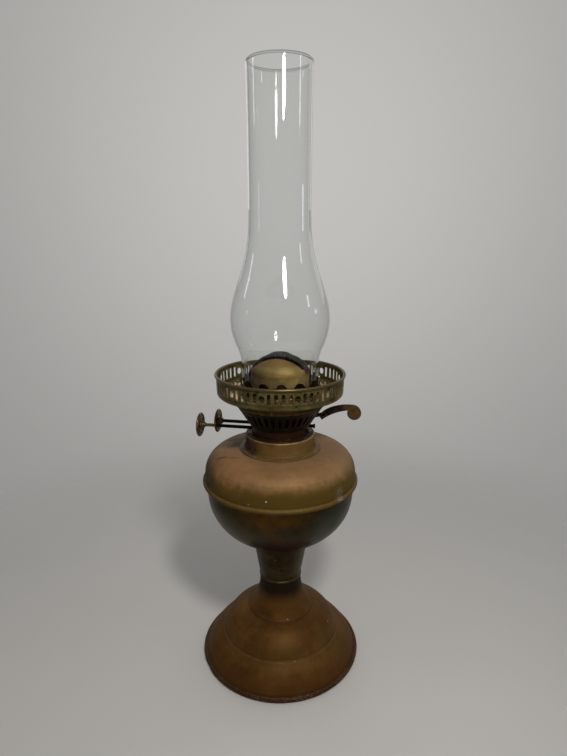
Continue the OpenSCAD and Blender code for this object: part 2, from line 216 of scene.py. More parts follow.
def dent(bm, c, size, depth):
    """A shallow knock at c, pushed towards the middle of the lamp at that height."""
    c = Vector(c)
    inward = Vector((-c.x, -c.y, 0)).normalized()
    for v in bm.verts:
        q = (v.co - c).length / size
        if q < 1:
            v.co += inward * depth * (1 - q * q) ** 2


def to_object(name, bm, sharp=32, fix=True):
    if fix:
        bmesh.ops.recalc_face_normals(bm, faces=bm.faces)
    bmesh.ops.scale(bm, vec=(MM, MM, MM), verts=bm.verts)
    me = bpy.data.meshes.new(name)
    bm.to_mesh(me)
    bm.free()
    ob = bpy.data.objects.new(name, me)
    SCENE.collection.objects.link(ob)
    smooth(ob, sharp)
    return ob


def smooth(ob, sharp=32):
    ob.data.shade_smooth()
    ob.data.set_sharp_from_angle(angle=math.radians(sharp))


def settle(ob, sharp=32):
    """Applies the object's modifiers, so that the final mesh is what is shaded and shown."""
    dg = bpy.context.evaluated_depsgraph_get()
    me = bpy.data.meshes.new_from_object(ob.evaluated_get(dg))
    ob.modifiers.clear()
    old = ob.data
    ob.data = me
    bpy.data.meshes.remove(old)
    smooth(ob, sharp)
    return ob


def solidify(ob, t, offset=-1.0):
    m = ob.modifiers.new("wall", "SOLIDIFY")
    m.thickness = t * MM
    m.offset = offset
    m.use_even_offset = True


def bevel(ob, w, angle=50, seg=2):
    m = ob.modifiers.new("edges", "BEVEL")
    m.width = w * MM
    m.segments = seg
    m.limit_method = "ANGLE"
    m.angle_limit = math.radians(angle)
    m.use_clamp_overlap = True


def cut(ob, tool):
    m = ob.modifiers.new("cut", "BOOLEAN")
    m.operation = "DIFFERENCE"
    m.solver = "EXACT"
    m.object = tool
    settle(ob)
    me = tool.data
    bpy.data.objects.remove(tool)
    bpy.data.meshes.remove(me)


def stand_for(ob, slot, mat, *nodes):
    ob.data.materials.clear()
    ob.data.materials.append(mat)
    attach(ob, BODY[nodes[0]])
    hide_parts(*nodes)
    return ob


def to_x_axis(bm, x, y, z):
    """Turns a profile that was spun about Z to lie along +X at that place."""
    bmesh.ops.transform(bm, matrix=Matrix.Translation((x, y, z)) @ Matrix.Rotation(math.radians(90), 4, "Y"), verts=bm.verts)


# ------------------------------------------------------------------ materials
class Mat:
    """A node material; lengths in its nodes are millimetres of the lamp's own frame."""

    def __init__(self, name):
        self.mat = bpy.data.materials.new(name)
        self.mat.use_nodes = True
        self.nt = self.mat.node_tree
        self.nt.nodes.clear()
        self.out = self.node("ShaderNodeOutputMaterial")
        self.bsdf = self.node("ShaderNodeBsdfPrincipled")
        self.link(self.bsdf.outputs["BSDF"], self.out.inputs["Surface"])
        tc = self.node("ShaderNodeTexCoord")
        sc = self.node("ShaderNodeVectorMath", operation="SCALE")
        sc.inputs["Scale"].default_value = 1000.0
        self.link(tc.outputs["Object"], sc.inputs[0])
        self.p = sc.outputs[0]

    def node(self, kind, **props):
        n = self.nt.nodes.new(kind)
        for k, v in props.items():
            setattr(n, k, v)
        return n

    def link(self, a, b):
        self.nt.links.new(a, b)

    def put(self, sock, v):
        if isinstance(v, bpy.types.NodeSocket):
            self.link(v, sock)
        elif isinstance(v, (tuple, list)) and len(v) == 3 and len(sock.default_value) == 4:
            sock.default_value = (*v, 1.0)
        else:
            sock.default_value = v

    def set(self, name, v):
        self.put(self.bsdf.inputs[name], v)

    def math(self, op, a, b=0.0, c=0.0, clamp=False):
        n = self.node("ShaderNodeMath", operation=op, use_clamp=clamp)
        for i, v in enumerate((a, b, c)):
            self.put(n.inputs[i], v)
        return n.outputs[0]

    def remap(self, v, a, b, c=0.0, d=1.0, kind="LINEAR"):
        n = self.node("ShaderNodeMapRange", interpolation_type=kind)
        for s, x in zip(("Value", "From Min", "From Max", "To Min", "To Max"), (v, a, b, c, d)):
            self.put(n.inputs[s], x)
        return n.outputs["Result"]

    def mix(self, f, a, b, how="MIX"):
        n = self.node("ShaderNodeMix", data_type="RGBA", blend_type=how)
        self.put(n.inputs["Factor"], f)
        self.put([s for s in n.inputs if s.name == "A" and s.type == "RGBA"][0], a)
        self.put([s for s in n.inputs if s.name == "B" and s.type == "RGBA"][0], b)
        return [s for s in n.outputs if s.type == "RGBA"][0]

    def noise(self, scale, detail=4.0, rough=0.55, vec=None, shift=0.0, distort=0.0):
        v = vec or self.p
        if shift:
            m = self.node("ShaderNodeVectorMath", operation="ADD")
            self.put(m.inputs[0], v)
            m.inputs[1].default_value = (shift, shift * 0.7, -shift * 1.3)
            v = m.outputs[0]
        n = self.node("ShaderNodeTexNoise")
        self.put(n.inputs["Vector"], v)
        n.inputs["Scale"].default_value = scale
        n.inputs["Detail"].default_value = detail
        n.inputs["Roughness"].default_value = rough
        n.inputs["Distortion"].default_value = distort
        return n.outputs["Fac"]

    def voronoi(self, scale, vec=None, out="Distance", rand=1.0):
        n = self.node("ShaderNodeTexVoronoi")
        self.put(n.inputs["Vector"], vec or self.p)
        n.inputs["Scale"].default_value = scale
        n.inputs["Randomness"].default_value = rand
        return n.outputs[out]

    def ramp(self, f, *stops):
        n = self.node("ShaderNodeValToRGB")
        e = n.color_ramp.elements
        while len(e) < len(stops):
            e.new(0.5)
        for i, (pos, col) in enumerate(stops):
            e[i].position = pos
            e[i].color = (*col, 1.0)
        self.put(n.inputs["Fac"], f)
        return n.outputs["Color"]

    def xyz(self, v=None):
        n = self.node("ShaderNodeSeparateXYZ")
        self.put(n.inputs[0], v or self.p)
        return n.outputs[0], n.outputs[1], n.outputs[2]

    def vec(self, x, y, z):
        n = self.node("ShaderNodeCombineXYZ")
        for i, v in enumerate((x, y, z)):
            self.put(n.inputs[i], v)
        return n.outputs[0]

    def radius(self, a, b):
        return self.math("SQRT", self.math("ADD", self.math("MULTIPLY", a, a), self.math("MULTIPLY", b, b)))

    def edges(self, lo=0.52, hi=0.60):
        n = self.node("ShaderNodeNewGeometry")
        return self.remap(n.outputs["Pointiness"], lo, hi)

    def hollows(self, lo=0.48, hi=0.42):
        n = self.node("ShaderNodeNewGeometry")
        return self.remap(n.outputs["Pointiness"], lo, hi)

    def near(self, c, stretch, lo, hi, rag=0.0, shift=0.0):
        """1 round the point c, falling to 0 between the distances lo and hi; rag makes the border uneven."""
        d = self.node("ShaderNodeVectorMath", operation="SUBTRACT")
        self.put(d.inputs[0], self.p)
        d.inputs[1].default_value = c
        k = self.node("ShaderNodeVectorMath", operation="MULTIPLY")
        self.link(d.outputs[0], k.inputs[0])
        k.inputs[1].default_value = stretch
        n = self.node("ShaderNodeVectorMath", operation="LENGTH")
        self.link(k.outputs[0], n.inputs[0])
        far = n.outputs["Value"]
        if rag:
            far = self.math("ADD", far, self.math("MULTIPLY", self.math("SUBTRACT", self.noise(0.10, 5, 0.62, shift=shift + 7.0), 0.5), rag))
        return self.remap(far, lo, hi, 1.0, 0.0, "SMOOTHSTEP")

    def bump(self, height, strength, distance_mm, under=None):
        n = self.node("ShaderNodeBump")
        n.inputs["Strength"].default_value = strength
        n.inputs["Distance"].default_value = distance_mm * MM
        self.put(n.inputs["Height"], height)
        if under is not None:
            self.link(under, n.inputs["Normal"])
        return n.outputs["Normal"]


def brass(name, dark, base, light, rough=(0.34, 0.52), big=0.03, mid=0.14, spin=0.35, tints=(), abraded_and_sheen_lines=(), abraded_and_sheen_colour=(0.5, 0.36, 0.2),
          edge=0.35, chips=0.35, grime_and_shade_lines=(), about="z", at=(0, 0), metal=1.0, grime_and_shade_colour=(0.02, 0.013, 0.008), soil_amount=0.6, grain=0.12, seed=0.0,
          bands=(), zones=(), scuffs=(), flecks=(), spec=0.2, polish=()):
    """Old brass: patina in patches, turning lines from the spinning lathe, chips, and rubbing on the edges.
    tints are (colour, scale, from, to, amount, shift) patches, abraded_and_sheen_lines are (z, half width, amount)
    lines made bright, rubbed metal and on some parts a painted highlight line, and grime_and_shade_lines the same made
    dark, painted shade in creases and joints together with grime, in grime_and_shade_colour.
    bands are (colour, z where it starts, z where it is full, amount, unevenness, and for some the radius that they end
    at), on some parts painted shade, zones are (colour, centre, stretch, from, to, amount) stains, and on some parts
    painted shade and a painted highlight, scuffs are (z, half width, amount, colour) lines of small scratches, and
    flecks are (colour, centre, from, to, amount, and for some a stretch) single marks.
    polish is (z above it, z below it, radius that it ends at, roughness), for a floor that was kept bright."""
    m = Mat(name)
    x, y, z = m.xyz()
    if about == "z":
        r, along = m.radius(x, y), z
    else:
        r, along = m.radius(m.math("SUBTRACT", y, at[0]), m.math("SUBTRACT", z, at[1])), x
    n_big = m.noise(big, 4, 0.55, shift=seed + 3.0)
    n_mid = m.noise(mid, 6, 0.62, shift=seed + 11.0)
    n_fine = m.noise(0.9, 5, 0.65, shift=seed + 29.0)
    lines = m.noise(1.9, 3, 0.7, vec=m.vec(r, 0.0, along), shift=seed)
    broad = m.noise(0.16, 3, 0.6, vec=m.vec(r, m.math("MULTIPLY", n_big, 6.0), along), shift=seed + 5)
    f = m.math("ADD", m.math("MULTIPLY", n_big, 0.5), m.math("MULTIPLY", n_mid, 0.34))
    f = m.math("ADD", f, m.math("MULTIPLY", n_fine, 0.10))
    f = m.math("ADD", f, m.math("MULTIPLY", broad, 0.12))
    col = m.ramp(f, (0.36, dark), (0.53, base), (0.72, light))
    for c, scale, lo, hi, amount, shift in tints:
        patch = m.remap(m.noise(scale, 4, 0.6, shift=seed + shift, distort=0.6), lo, hi, 0.0, amount, "SMOOTHSTEP")
        col = m.mix(patch, col, c)
    for c, z0, z1, amount, rag, *within in bands:
        level = m.math("ADD", along, m.math("MULTIPLY", m.math("SUBTRACT", n_mid, 0.5), rag))
        level = m.remap(level, z0, z1, 0.0, amount, "SMOOTHSTEP")
        if within:
            level = m.math("MULTIPLY", level, m.remap(r, within[0] - 1.0, within[0] + 1.0, 1.0, 0.0))
        col = m.mix(level, col, c)
    # zones: stains, and on some parts painted shade and a painted highlight
    for i, (c, centre, stretch, lo, hi, amount) in enumerate(zones):
        patch = m.math("MULTIPLY", m.near(centre, stretch, lo, hi, 0.9 * (hi - lo), seed + 4.1 * i), m.remap(n_mid, 0.36, 0.62, 0.45 * amount, amount))
        col = m.mix(patch, col, c)
    # turning lines, light and dark
    col = m.mix(m.remap(lines, 0.42, 0.62, 0.0, 0.28 * spin), col, tuple(0.45 * c for c in dark))
    # small pits of grime, and a few bright chips
    pits = m.remap(m.voronoi(0.42), 0.05, 0.22, 1.0, 0.0)
    some = m.remap(m.noise(0.21, 3, 0.6, shift=seed + 41.0), 0.52, 0.66)
    col = m.mix(m.math("MULTIPLY", m.math("MULTIPLY", pits, some), soil_amount), col, grime_and_shade_colour)
    if chips:
        cell = m.node("ShaderNodeTexVoronoi")
        m.put(cell.inputs["Vector"], m.p)
        cell.inputs["Scale"].default_value = 0.085
        pick = m.node("ShaderNodeSeparateColor")
        m.link(cell.outputs["Color"], pick.inputs[0])
        spot = m.math("MULTIPLY", m.remap(cell.outputs["Distance"], 0.045, 0.085, 1.0, 0.0), m.remap(pick.outputs[0], 0.80, 0.82))
        ragged = m.remap(n_fine, 0.42, 0.52)
        col = m.mix(m.math("MULTIPLY", m.math("MULTIPLY", spot, ragged), chips), col, (0.62, 0.55, 0.38))
    # lines and edges made bright: rubbed metal, and on some parts painted highlight lines
    abraded_and_sheen_mask = None
    for z0, w, amount in abraded_and_sheen_lines:
        near = m.remap(m.math("ABSOLUTE", m.math("SUBTRACT", along, z0)), 0.25 * w, w, 1.0, 0.0, "SMOOTHSTEP")
        near = m.math("MULTIPLY", near, m.math("MULTIPLY", m.remap(n_mid, 0.36, 0.62, 0.35, 1.0), amount))
        abraded_and_sheen_mask = near if abraded_and_sheen_mask is None else m.math("MAXIMUM", abraded_and_sheen_mask, near)
    # lines made dark along creases and joints: painted crease shade together with grime
    for z0, w, amount in grime_and_shade_lines:
        near = m.remap(m.math("ABSOLUTE", m.math("SUBTRACT", along, z0)), 0.2 * w, w, 1.0, 0.0, "SMOOTHSTEP")
        near = m.math("MULTIPLY", near, m.math("MULTIPLY", m.remap(n_mid, 0.34, 0.6, 0.55, 1.0), amount))
        col = m.mix(near, col, grime_and_shade_colour)
    for z0, w, amount, c in scuffs:
        near = m.remap(m.math("ABSOLUTE", m.math("SUBTRACT", along, z0)), 0.3 * w, w, 1.0, 0.0, "SMOOTHSTEP")
        near = m.math("MULTIPLY", near, m.math("MULTIPLY", m.remap(n_fine, 0.50, 0.60), m.remap(m.noise(0.05, 3, 0.6, shift=seed + 61.0), 0.40, 0.62, 0.15, amount)))
        col = m.mix(near, col, c)
    for c, centre, lo, hi, amount, *stretch in flecks:
        spot = m.math("MULTIPLY", m.near(centre, stretch[0] if stretch else (1, 1, 1), lo, hi), m.remap(n_fine, 0.47, 0.60, 0.06 * amount if hi > 1.5 else amount, amount))
        col = m.mix(spot, col, c)
    if edge:
        e = m.math("MULTIPLY", m.edges(), m.remap(n_mid, 0.38, 0.6, 0.2 * edge, edge))
        abraded_and_sheen_mask = e if abraded_and_sheen_mask is None else m.math("MAXIMUM", abraded_and_sheen_mask, e)
    if abraded_and_sheen_mask is not None:
        col = m.mix(abraded_and_sheen_mask, col, abraded_and_sheen_colour)
    m.set("Base Color", col)
    m.set("Metallic", metal)
    m.set("Specular IOR Level", spec)
    ro = m.remap(m.math("ADD", m.math("MULTIPLY", n_mid, 0.7), m.math("MULTIPLY", n_fine, 0.3)), 0.32, 0.68, rough[0], rough[1])
    ro = m.math("ADD", ro, m.remap(lines, 0.35, 0.65, -0.03 * spin, 0.03 * spin))
    if abraded_and_sheen_mask is not None:
        ro = m.math("SUBTRACT", ro, m.math("MULTIPLY", abraded_and_sheen_mask, 0.10))
    if polish:
        clean = m.math("MULTIPLY", m.remap(along, polish[0], polish[1]), m.remap(r, polish[2] - 1.0, polish[2] + 1.0, 1.0, 0.0))
        ro = m.math("ADD", m.math("MULTIPLY", ro, m.math("SUBTRACT", 1.0, clean)), m.math("MULTIPLY", clean, m.remap(n_mid, 0.35, 0.65, polish[3], polish[3] + 0.12)))
    m.set("Roughness", m.math("MAXIMUM", ro, 0.12))
    nrm = m.bump(lines, 0.22 * spin, 0.05)
    nrm = m.bump(n_mid, 0.25, 0.22, nrm)
    nrm = m.bump(n_fine, grain, 0.10, nrm)
    m.set("Normal", nrm)
    return m.mat


def glass():
    m = Mat("clear_glass")
    x, y, z = m.xyz()
    a = m.vec(x, y, m.math("MULTIPLY", z, 0.25))
    smear = m.noise(0.04, 5, 0.6, vec=a, shift=17)
    specks = m.math("MULTIPLY", m.remap(m.voronoi(0.16), 0.03, 0.07, 1.0, 0.0), m.remap(m.noise(0.05, 3, 0.6, shift=31), 0.54, 0.64))
    col = m.mix(m.remap(smear, 0.46, 0.7, 0.0, 0.5), (0.992, 0.997, 0.994), (0.955, 0.968, 0.960))
    col = m.mix(m.math("MULTIPLY", specks, 0.5), col, (0.62, 0.62, 0.58))
    # painted shade: the glass made darker at the top of the rim, so that the rim's edge lines read dark
    m.set("Base Color", m.mix(m.remap(z, 511.2, 511.9), col, (0.78, 0.795, 0.79)))
    m.set("Roughness", m.remap(smear, 0.5, 0.74, 0.0, 0.035))
    m.set("IOR", 1.5)
    m.set("Transmission Weight", 1.0)
    clear = m.node("ShaderNodeBsdfTransparent")
    path = m.node("ShaderNodeLightPath")
    pick = m.node("ShaderNodeMixShader")
    clear.inputs["Color"].default_value = (0.93, 0.95, 0.94, 1.0)
    m.link(path.outputs["Is Shadow Ray"], pick.inputs[0])
    m.link(m.bsdf.outputs["BSDF"], pick.inputs[1])
    m.link(clear.outputs["BSDF"], pick.inputs[2])
    m.link(pick.outputs["Shader"], m.out.inputs["Surface"])
    tint = m.node("ShaderNodeVolumeAbsorption")
    tint.inputs["Color"].default_value = (0.50, 0.58, 0.55, 1.0)
    tint.inputs["Density"].default_value = 42.0
    m.link(tint.outputs[0], m.out.inputs["Volume"])
    return m.mat


def cotton():
    m = Mat("wick_cotton")
    x, y, z = m.xyz()
    w1 = m.math("SINE", m.math("MULTIPLY", m.math("ADD", x, z), 3.2))
    w2 = m.math("SINE", m.math("MULTIPLY", m.math("SUBTRACT", x, z), 3.2))
    weave = m.math("MULTIPLY", w1, w2)
    fuzz = m.noise(1.6, 5, 0.7)
    patch = m.noise(0.09, 4, 0.6, shift=8)
    col = m.mix(m.remap(weave, -0.7, 0.7), (0.30, 0.24, 0.15), (0.62, 0.55, 0.40))
    col = m.mix(m.remap(patch, 0.4, 0.65, 0.0, 0.55), col, (0.36, 0.25, 0.11))
    line = m.math("ADD", z, m.math("MULTIPLY", fuzz, 3.0))
    col = m.mix(m.remap(line, 268.5, 272.5), col, (0.012, 0.010, 0.009))
    m.set("Base Color", col)
    m.set("Roughness", 0.95)
    m.set("Sheen Weight", 0.25)
    m.set("Normal", m.bump(m.math("ADD", m.math("MULTIPLY", weave, 0.5), fuzz), 0.6, 0.3))
    return m.mat


def iron():
    m = Mat("ballast_iron")
    n = m.noise(0.35, 8, 0.7)
    r = m.noise(0.06, 5, 0.6, shift=9)
    col = m.mix(m.remap(n, 0.35, 0.65), (0.028, 0.026, 0.025), (0.085, 0.078, 0.07))
    col = m.mix(m.remap(r, 0.5, 0.66, 0.0, 0.8), col, (0.16, 0.055, 0.02))
    m.set("Base Color", col)
    m.set("Metallic", 0.55)
    m.set("Roughness", m.remap(n, 0.3, 0.7, 0.6, 0.9))
    m.set("Normal", m.bump(n, 0.7, 0.5))
    return m.mat


def steel():
    m = Mat("tie_steel")
    n = m.noise(0.5, 6, 0.65)
    r = m.noise(0.12, 5, 0.6, shift=5)
    col = m.mix(m.remap(n, 0.35, 0.65), (0.18, 0.175, 0.17), (0.36, 0.35, 0.34))
    col = m.mix(m.remap(r, 0.52, 0.68, 0.0, 0.7), col, (0.17, 0.075, 0.03))
    m.set("Base Color", col)
    m.set("Metallic", 0.9)
    m.set("Roughness", m.remap(n, 0.3, 0.7, 0.35, 0.6))
    x, y, z = m.xyz()
    thread = m.math("SINE", m.math("MULTIPLY", z, PI2 / 1.0))
    m.set("Normal", m.bump(m.math("ADD", m.math("MULTIPLY", thread, 0.25), n), 0.35, 0.2))
    return m.mat


def felt():
    m = Mat("base_cloth")
    f = m.noise(2.4, 6, 0.75)
    g = m.noise(0.07, 5, 0.6, shift=6)
    col = m.mix(m.remap(f, 0.3, 0.7), (0.012, 0.045, 0.022), (0.035, 0.11, 0.055))
    col = m.mix(m.remap(g, 0.5, 0.68, 0.0, 0.6), col, (0.07, 0.06, 0.04))
    m.set("Base Color", col)
    m.set("Roughness", 0.97)
    m.set("Sheen Weight", 0.4)
    m.set("Normal", m.bump(f, 0.8, 0.4))
    return m.mat


FOOT = brass("foot_brass", (0.074, 0.031, 0.007), (0.134, 0.061, 0.0135), (0.188, 0.096, 0.027), rough=(0.50, 0.64), spin=0.3, metal=0.35, spec=0.08,
             tints=(((0.105, 0.068, 0.016), 0.022, 0.50, 0.68, 0.45, 13), ((0.110, 0.036, 0.012), 0.03, 0.52, 0.68, 0.4, 23)),
             # the first band darkens the top of the flare under the stem: painted contact shadow together with dark
             # oxide
             bands=(((0.011, 0.0085, 0.004), 57.0, 72.0, 0.95, 10.0), ((0.092, 0.037, 0.0085), 23.0, 9.0, 0.62, 9.0), ((0.045, 0.020, 0.006), 5.2, 4.2, 0.85, 1.0)),
             abraded_and_sheen_lines=((24.95, 0.6, 0.20), (0.9, 1.2, 0.15)), abraded_and_sheen_colour=(0.25, 0.16, 0.075), scuffs=((3.4, 2.6, 0.5, (0.34, 0.29, 0.22)), (25.0, 0.8, 0.5, (0.28, 0.19, 0.10))),
             # the dark lines at the rim's crease and at both creases of the dome are painted crease shade together with
             # grime
             grime_and_shade_lines=((5.3, 0.6, 0.45), (26.45, 0.5, 0.35), (46.95, 0.55, 0.65)), edge=0.15, chips=0.6, seed=1.0)
STEM = brass("stem_brass", (0.013, 0.009, 0.004), (0.042, 0.028, 0.009), (0.105, 0.074, 0.026), rough=(0.38, 0.54), spin=0.3, big=0.06, metal=0.65, spec=0.12,
             tints=(((0.048, 0.020, 0.016), 0.05, 0.52, 0.66, 0.6, 13), ((0.046, 0.046, 0.018), 0.04, 0.5, 0.66, 0.5, 31)),
             # this band darkens the top of the stem under the bowl: painted shade
             bands=(((0.018, 0.010, 0.005), 108.0, 120.0, 0.7, 8.0),),
             # the first zone is a painted highlight down the stem's right side; the second a lighter greenish patch at
             # the front left
             zones=(((0.105, 0.085, 0.034), (19, -8, 98), (1.0, 1.0, 0.45), 3.0, 12.0, 0.6), ((0.060, 0.050, 0.020), (-16, -12, 100), (1.0, 1.0, 0.5), 3.0, 11.0, 0.5)),
             abraded_and_sheen_lines=((80.6, 1.5, 0.45),), abraded_and_sheen_colour=(0.165, 0.105, 0.040), scuffs=((92.0, 9.0, 0.35, (0.20, 0.15, 0.07)),), grime_and_shade_lines=((82.2, 0.7, 0.6),), edge=0.25, chips=0.3, seed=17.0)
BOWL = brass("bowl_brass", (0.017, 0.012, 0.006), (0.042, 0.029, 0.012), (0.080, 0.052, 0.019), rough=(0.30, 0.46), spin=0.3, big=0.022, metal=0.72, spec=0.12,
             tints=(((0.100, 0.042, 0.008), 0.022, 0.54, 0.68, 0.6, 13), ((0.028, 0.046, 0.024), 0.020, 0.52, 0.68, 0.6, 31),
                    ((0.062, 0.022, 0.030), 0.026, 0.54, 0.68, 0.5, 53)),
             zones=(((0.125, 0.052, 0.007), (4, -63, 171), (0.40, 0.6, 1.4), 4.0, 20.0, 0.75), ((0.030, 0.054, 0.026), (50, -32, 158), (0.8, 0.8, 0.8), 8.0, 27.0, 0.75),
                    ((0.105, 0.022, 0.036), (12, -46, 142), (0.7, 0.6, 1.1), 3.0, 17.0, 0.65), ((0.066, 0.058, 0.017), (-26, -48, 150), (0.7, 0.7, 0.8), 5.0, 24.0, 0.75),
                    # this last zone darkens the bowl's left: painted shade
                    ((0.036, 0.021, 0.012), (-56, -24, 160), (0.9, 0.9, 0.9), 7.0, 26.0, 0.8)),
             bands=(((0.016, 0.009, 0.004), 172.5, 176.0, 0.5, 3.0),), edge=0.2, chips=0.15, seed=31.0)
FONT = brass("font_brass", (0.212, 0.113, 0.046), (0.312, 0.178, 0.077), (0.392, 0.238, 0.112), rough=(0.52, 0.66), spin=0.4, big=0.02, metal=0.28, spec=0.10,
             tints=(((0.34, 0.235, 0.078), 0.018, 0.52, 0.7, 0.4, 13), ((0.33, 0.145, 0.07), 0.02, 0.54, 0.7, 0.4, 29)),
             # painted shade: this band makes the lower wall darker and more olive than the top
             bands=(((0.112, 0.068, 0.0095), 200.0, 189.0, 0.94, 9.0),),
             zones=(((0.460, 0.210, 0.082), (-30, -48, 202), (0.8, 0.8, 1.0), 6.0, 24.0, 0.5), ((0.200, 0.125, 0.086), (48, 2, 204), (0.8, 0.8, 1.0), 6.0, 30.0, 0.5),
                    # this zone darkens the left of the wall: painted shade
                    ((0.028, 0.019, 0.005), (-60, -27, 187), (0.8, 0.8, 1.2), 6.0, 26.0, 0.85),
                    # these two zones darken the top's left, darkest next to the neck: painted shade
                    ((0.100, 0.072, 0.034), (-46, 12, 205), (0.5, 1.0, 1.0), 18.0, 25.0, 0.7), ((0.022, 0.016, 0.008), (-31, 0, 206), (0.7, 0.7, 1.0), 3.0, 14.0, 0.9)),
             # the bright line on top of the seam bead is rubbed metal with a painted highlight
             abraded_and_sheen_lines=((178.9, 0.7, 0.20),), abraded_and_sheen_colour=(0.26, 0.165, 0.065), scuffs=((178.6, 1.5, 0.4, (0.34, 0.25, 0.15)), (197.0, 9.0, 0.12, (0.13, 0.07, 0.03))),
             flecks=(((0.80, 0.77, 0.66), (0.8, -66.5, 185.9), 0.45, 0.85, 0.95), ((0.46, 0.45, 0.42), (57.3, -38.4, 178.0), 1.6, 6.0, 0.6),
                     ((0.38, 0.37, 0.35), (55.6, -36.5, 184.0), 1.6, 7.5, 0.4), ((0.13, 0.07, 0.028), (17.0, -54.0, 201.4), 0.4, 1.7, 0.8), ((0.13, 0.07, 0.028), (13.0, -54.5, 201.2), 0.3, 1.2, 0.8),
                     ((0.055, 0.030, 0.012), (-45.5, -28.4, 203.4), 0.5, 1.3, 0.9, (0.15, 1.1, 0.25)), ((0.085, 0.048, 0.020), (-34.0, -30.5, 205.2), 0.4, 1.3, 0.7, (0.16, 1.3, 0.3))),
             # the dark lines above and below the seam bead are painted crease shade together with grime
             grime_and_shade_lines=((180.3, 0.7, 0.6), (175.9, 0.8, 0.5)), edge=0.15, chips=0.5, seed=47.0)
NECK = brass("neck_brass", (0.125, 0.070, 0.020), (0.195, 0.113, 0.033), (0.275, 0.167, 0.056), rough=(0.48, 0.62), spin=0.5, big=0.04, metal=0.4, spec=0.12,
             # the first zone darkens the neck's left, most at the top: painted shade
             zones=(((0.020, 0.012, 0.005), (-26, -17, 217), (0.75, 0.75, 0.6), 6.0, 16.0, 0.96), ((0.045, 0.027, 0.010), (-4, -30, 220), (0.5, 0.5, 1.0), 1.0, 5.0, 0.5)),
             tints=(((0.20, 0.150, 0.040), 0.03, 0.5, 0.66, 0.5, 13),), bands=(((0.110, 0.060, 0.020), 211.5, 208.0, 0.5, 3.0),),
             # the bright line round the top edge is rubbed metal with a painted highlight
             abraded_and_sheen_lines=((219.5, 0.8, 0.5),), abraded_and_sheen_colour=(0.50, 0.33, 0.16), scuffs=((206.9, 1.0, 0.5, (0.42, 0.33, 0.22)),),
             # the dark line at the foot of the flange is painted shade in the joint together with grime
             grime_and_shade_lines=((206.05, 0.35, 0.85),), edge=0.2, chips=0.6, seed=59.0)
SOOTY = brass("sooty_brass", (0.016, 0.012, 0.008), (0.060, 0.040, 0.018), (0.13, 0.088, 0.040), rough=(0.45, 0.65), spin=0.2, spec=0.15, edge=0.4, seed=73.0)
INNER = brass("inner_brass", (0.13, 0.085, 0.035), (0.30, 0.21, 0.09), (0.44, 0.32, 0.15), rough=(0.35, 0.55), spin=0.3, edge=0.4, seed=71.0)
BLACK = brass("black_brass", (0.007, 0.006, 0.005), (0.021, 0.019, 0.016), (0.050, 0.043, 0.034), rough=(0.34, 0.52), spin=0.3, mid=0.25, metal=0.7, spec=0.15,
              tints=(((0.055, 0.026, 0.010), 0.06, 0.58, 0.72, 0.5, 13),), bands=(((0.060, 0.025, 0.008), 230.6, 227.2, 0.85, 2.0),),
              abraded_and_sheen_colour=(0.20, 0.155, 0.11), edge=0.8, chips=0.0, seed=83.0)
ROD = brass("rod_black", (0.010, 0.008, 0.007), (0.022, 0.017, 0.013), (0.07, 0.05, 0.03), rough=(0.28, 0.46), spin=0.2, mid=0.4,
            about="x", at=(0, 224.5), bands=(((0.26, 0.19, 0.10), -55.0, -58.5, 0.9, 2.0),), abraded_and_sheen_colour=(0.2, 0.14, 0.08), edge=0.5, chips=0.0, seed=89.0)
KNOB = brass("knob_bronze", (0.082, 0.060, 0.031), (0.235, 0.168, 0.086), (0.38, 0.28, 0.150), rough=(0.34, 0.50), spin=0.5, mid=0.35, big=0.09,
             about="x", at=(0, 224.5), tints=(((0.065, 0.052, 0.030), 0.10, 0.5, 0.66, 0.6, 13),), abraded_and_sheen_colour=(0.46, 0.34, 0.19), edge=0.7, chips=0.0, seed=97.0)
LEVER = brass("lever_brown", (0.055, 0.032, 0.013), (0.130, 0.078, 0.030), (0.20, 0.125, 0.052), rough=(0.36, 0.52), spin=0.0, mid=0.3, big=0.07, about="x", at=(0, 240), metal=0.7, spec=0.15,
              bands=(((0.013, 0.011, 0.009), 60.0, 52.0, 0.94, 4.0),), abraded_and_sheen_colour=(0.34, 0.23, 0.12), edge=0.6, chips=0.0, seed=103.0)
GALLERY = brass("gallery_brass", (0.058, 0.048, 0.016), (0.180, 0.156, 0.055), (0.310, 0.262, 0.104), rough=(0.34, 0.50), spin=0.35, mid=0.50, big=0.09, metal=0.75, spec=0.15,
                tints=(((0.120, 0.068, 0.022), 0.05, 0.50, 0.66, 0.55, 13), ((0.090, 0.115, 0.052), 0.07, 0.54, 0.68, 0.5, 31), ((0.020, 0.018, 0.009), 0.16, 0.55, 0.68, 0.75, 43)),
                bands=(((0.105, 0.064, 0.028), 271.5, 272.1, 0.85, 0.5), ((0.420, 0.230, 0.125), 260.4, 259.6, 0.85, 0.3, 51.6)),
                polish=(260.4, 259.7, 51.6, 0.13),
                scuffs=((263.0, 3.0, 0.45, (0.36, 0.30, 0.17)),), abraded_and_sheen_lines=((273.4, 1.0, 0.3),), grime_and_shade_lines=((271.0, 0.6, 0.6), (260.0, 0.8, 0.4)), abraded_and_sheen_colour=(0.36, 0.25, 0.11), edge=0.6, chips=0.3, seed=113.0)
COLLAR = brass("collar_brass", (0.032, 0.020, 0.007), (0.086, 0.053, 0.016), (0.165, 0.106, 0.036), rough=(0.28, 0.44), spin=0.4, mid=0.3, big=0.06, spec=0.2,
               # the band darkens the skirt towards its top: painted contact shadow under the gallery; the two bright
               # lines low on the skirt are painted highlight lines
               bands=(((0.016, 0.011, 0.007), 252.0, 256.5, 0.85, 1.5),), abraded_and_sheen_lines=((247.6, 0.7, 0.5), (250.6, 0.5, 0.3)), abraded_and_sheen_colour=(0.34, 0.21, 0.10), edge=0.5, chips=0.0, seed=127.0)
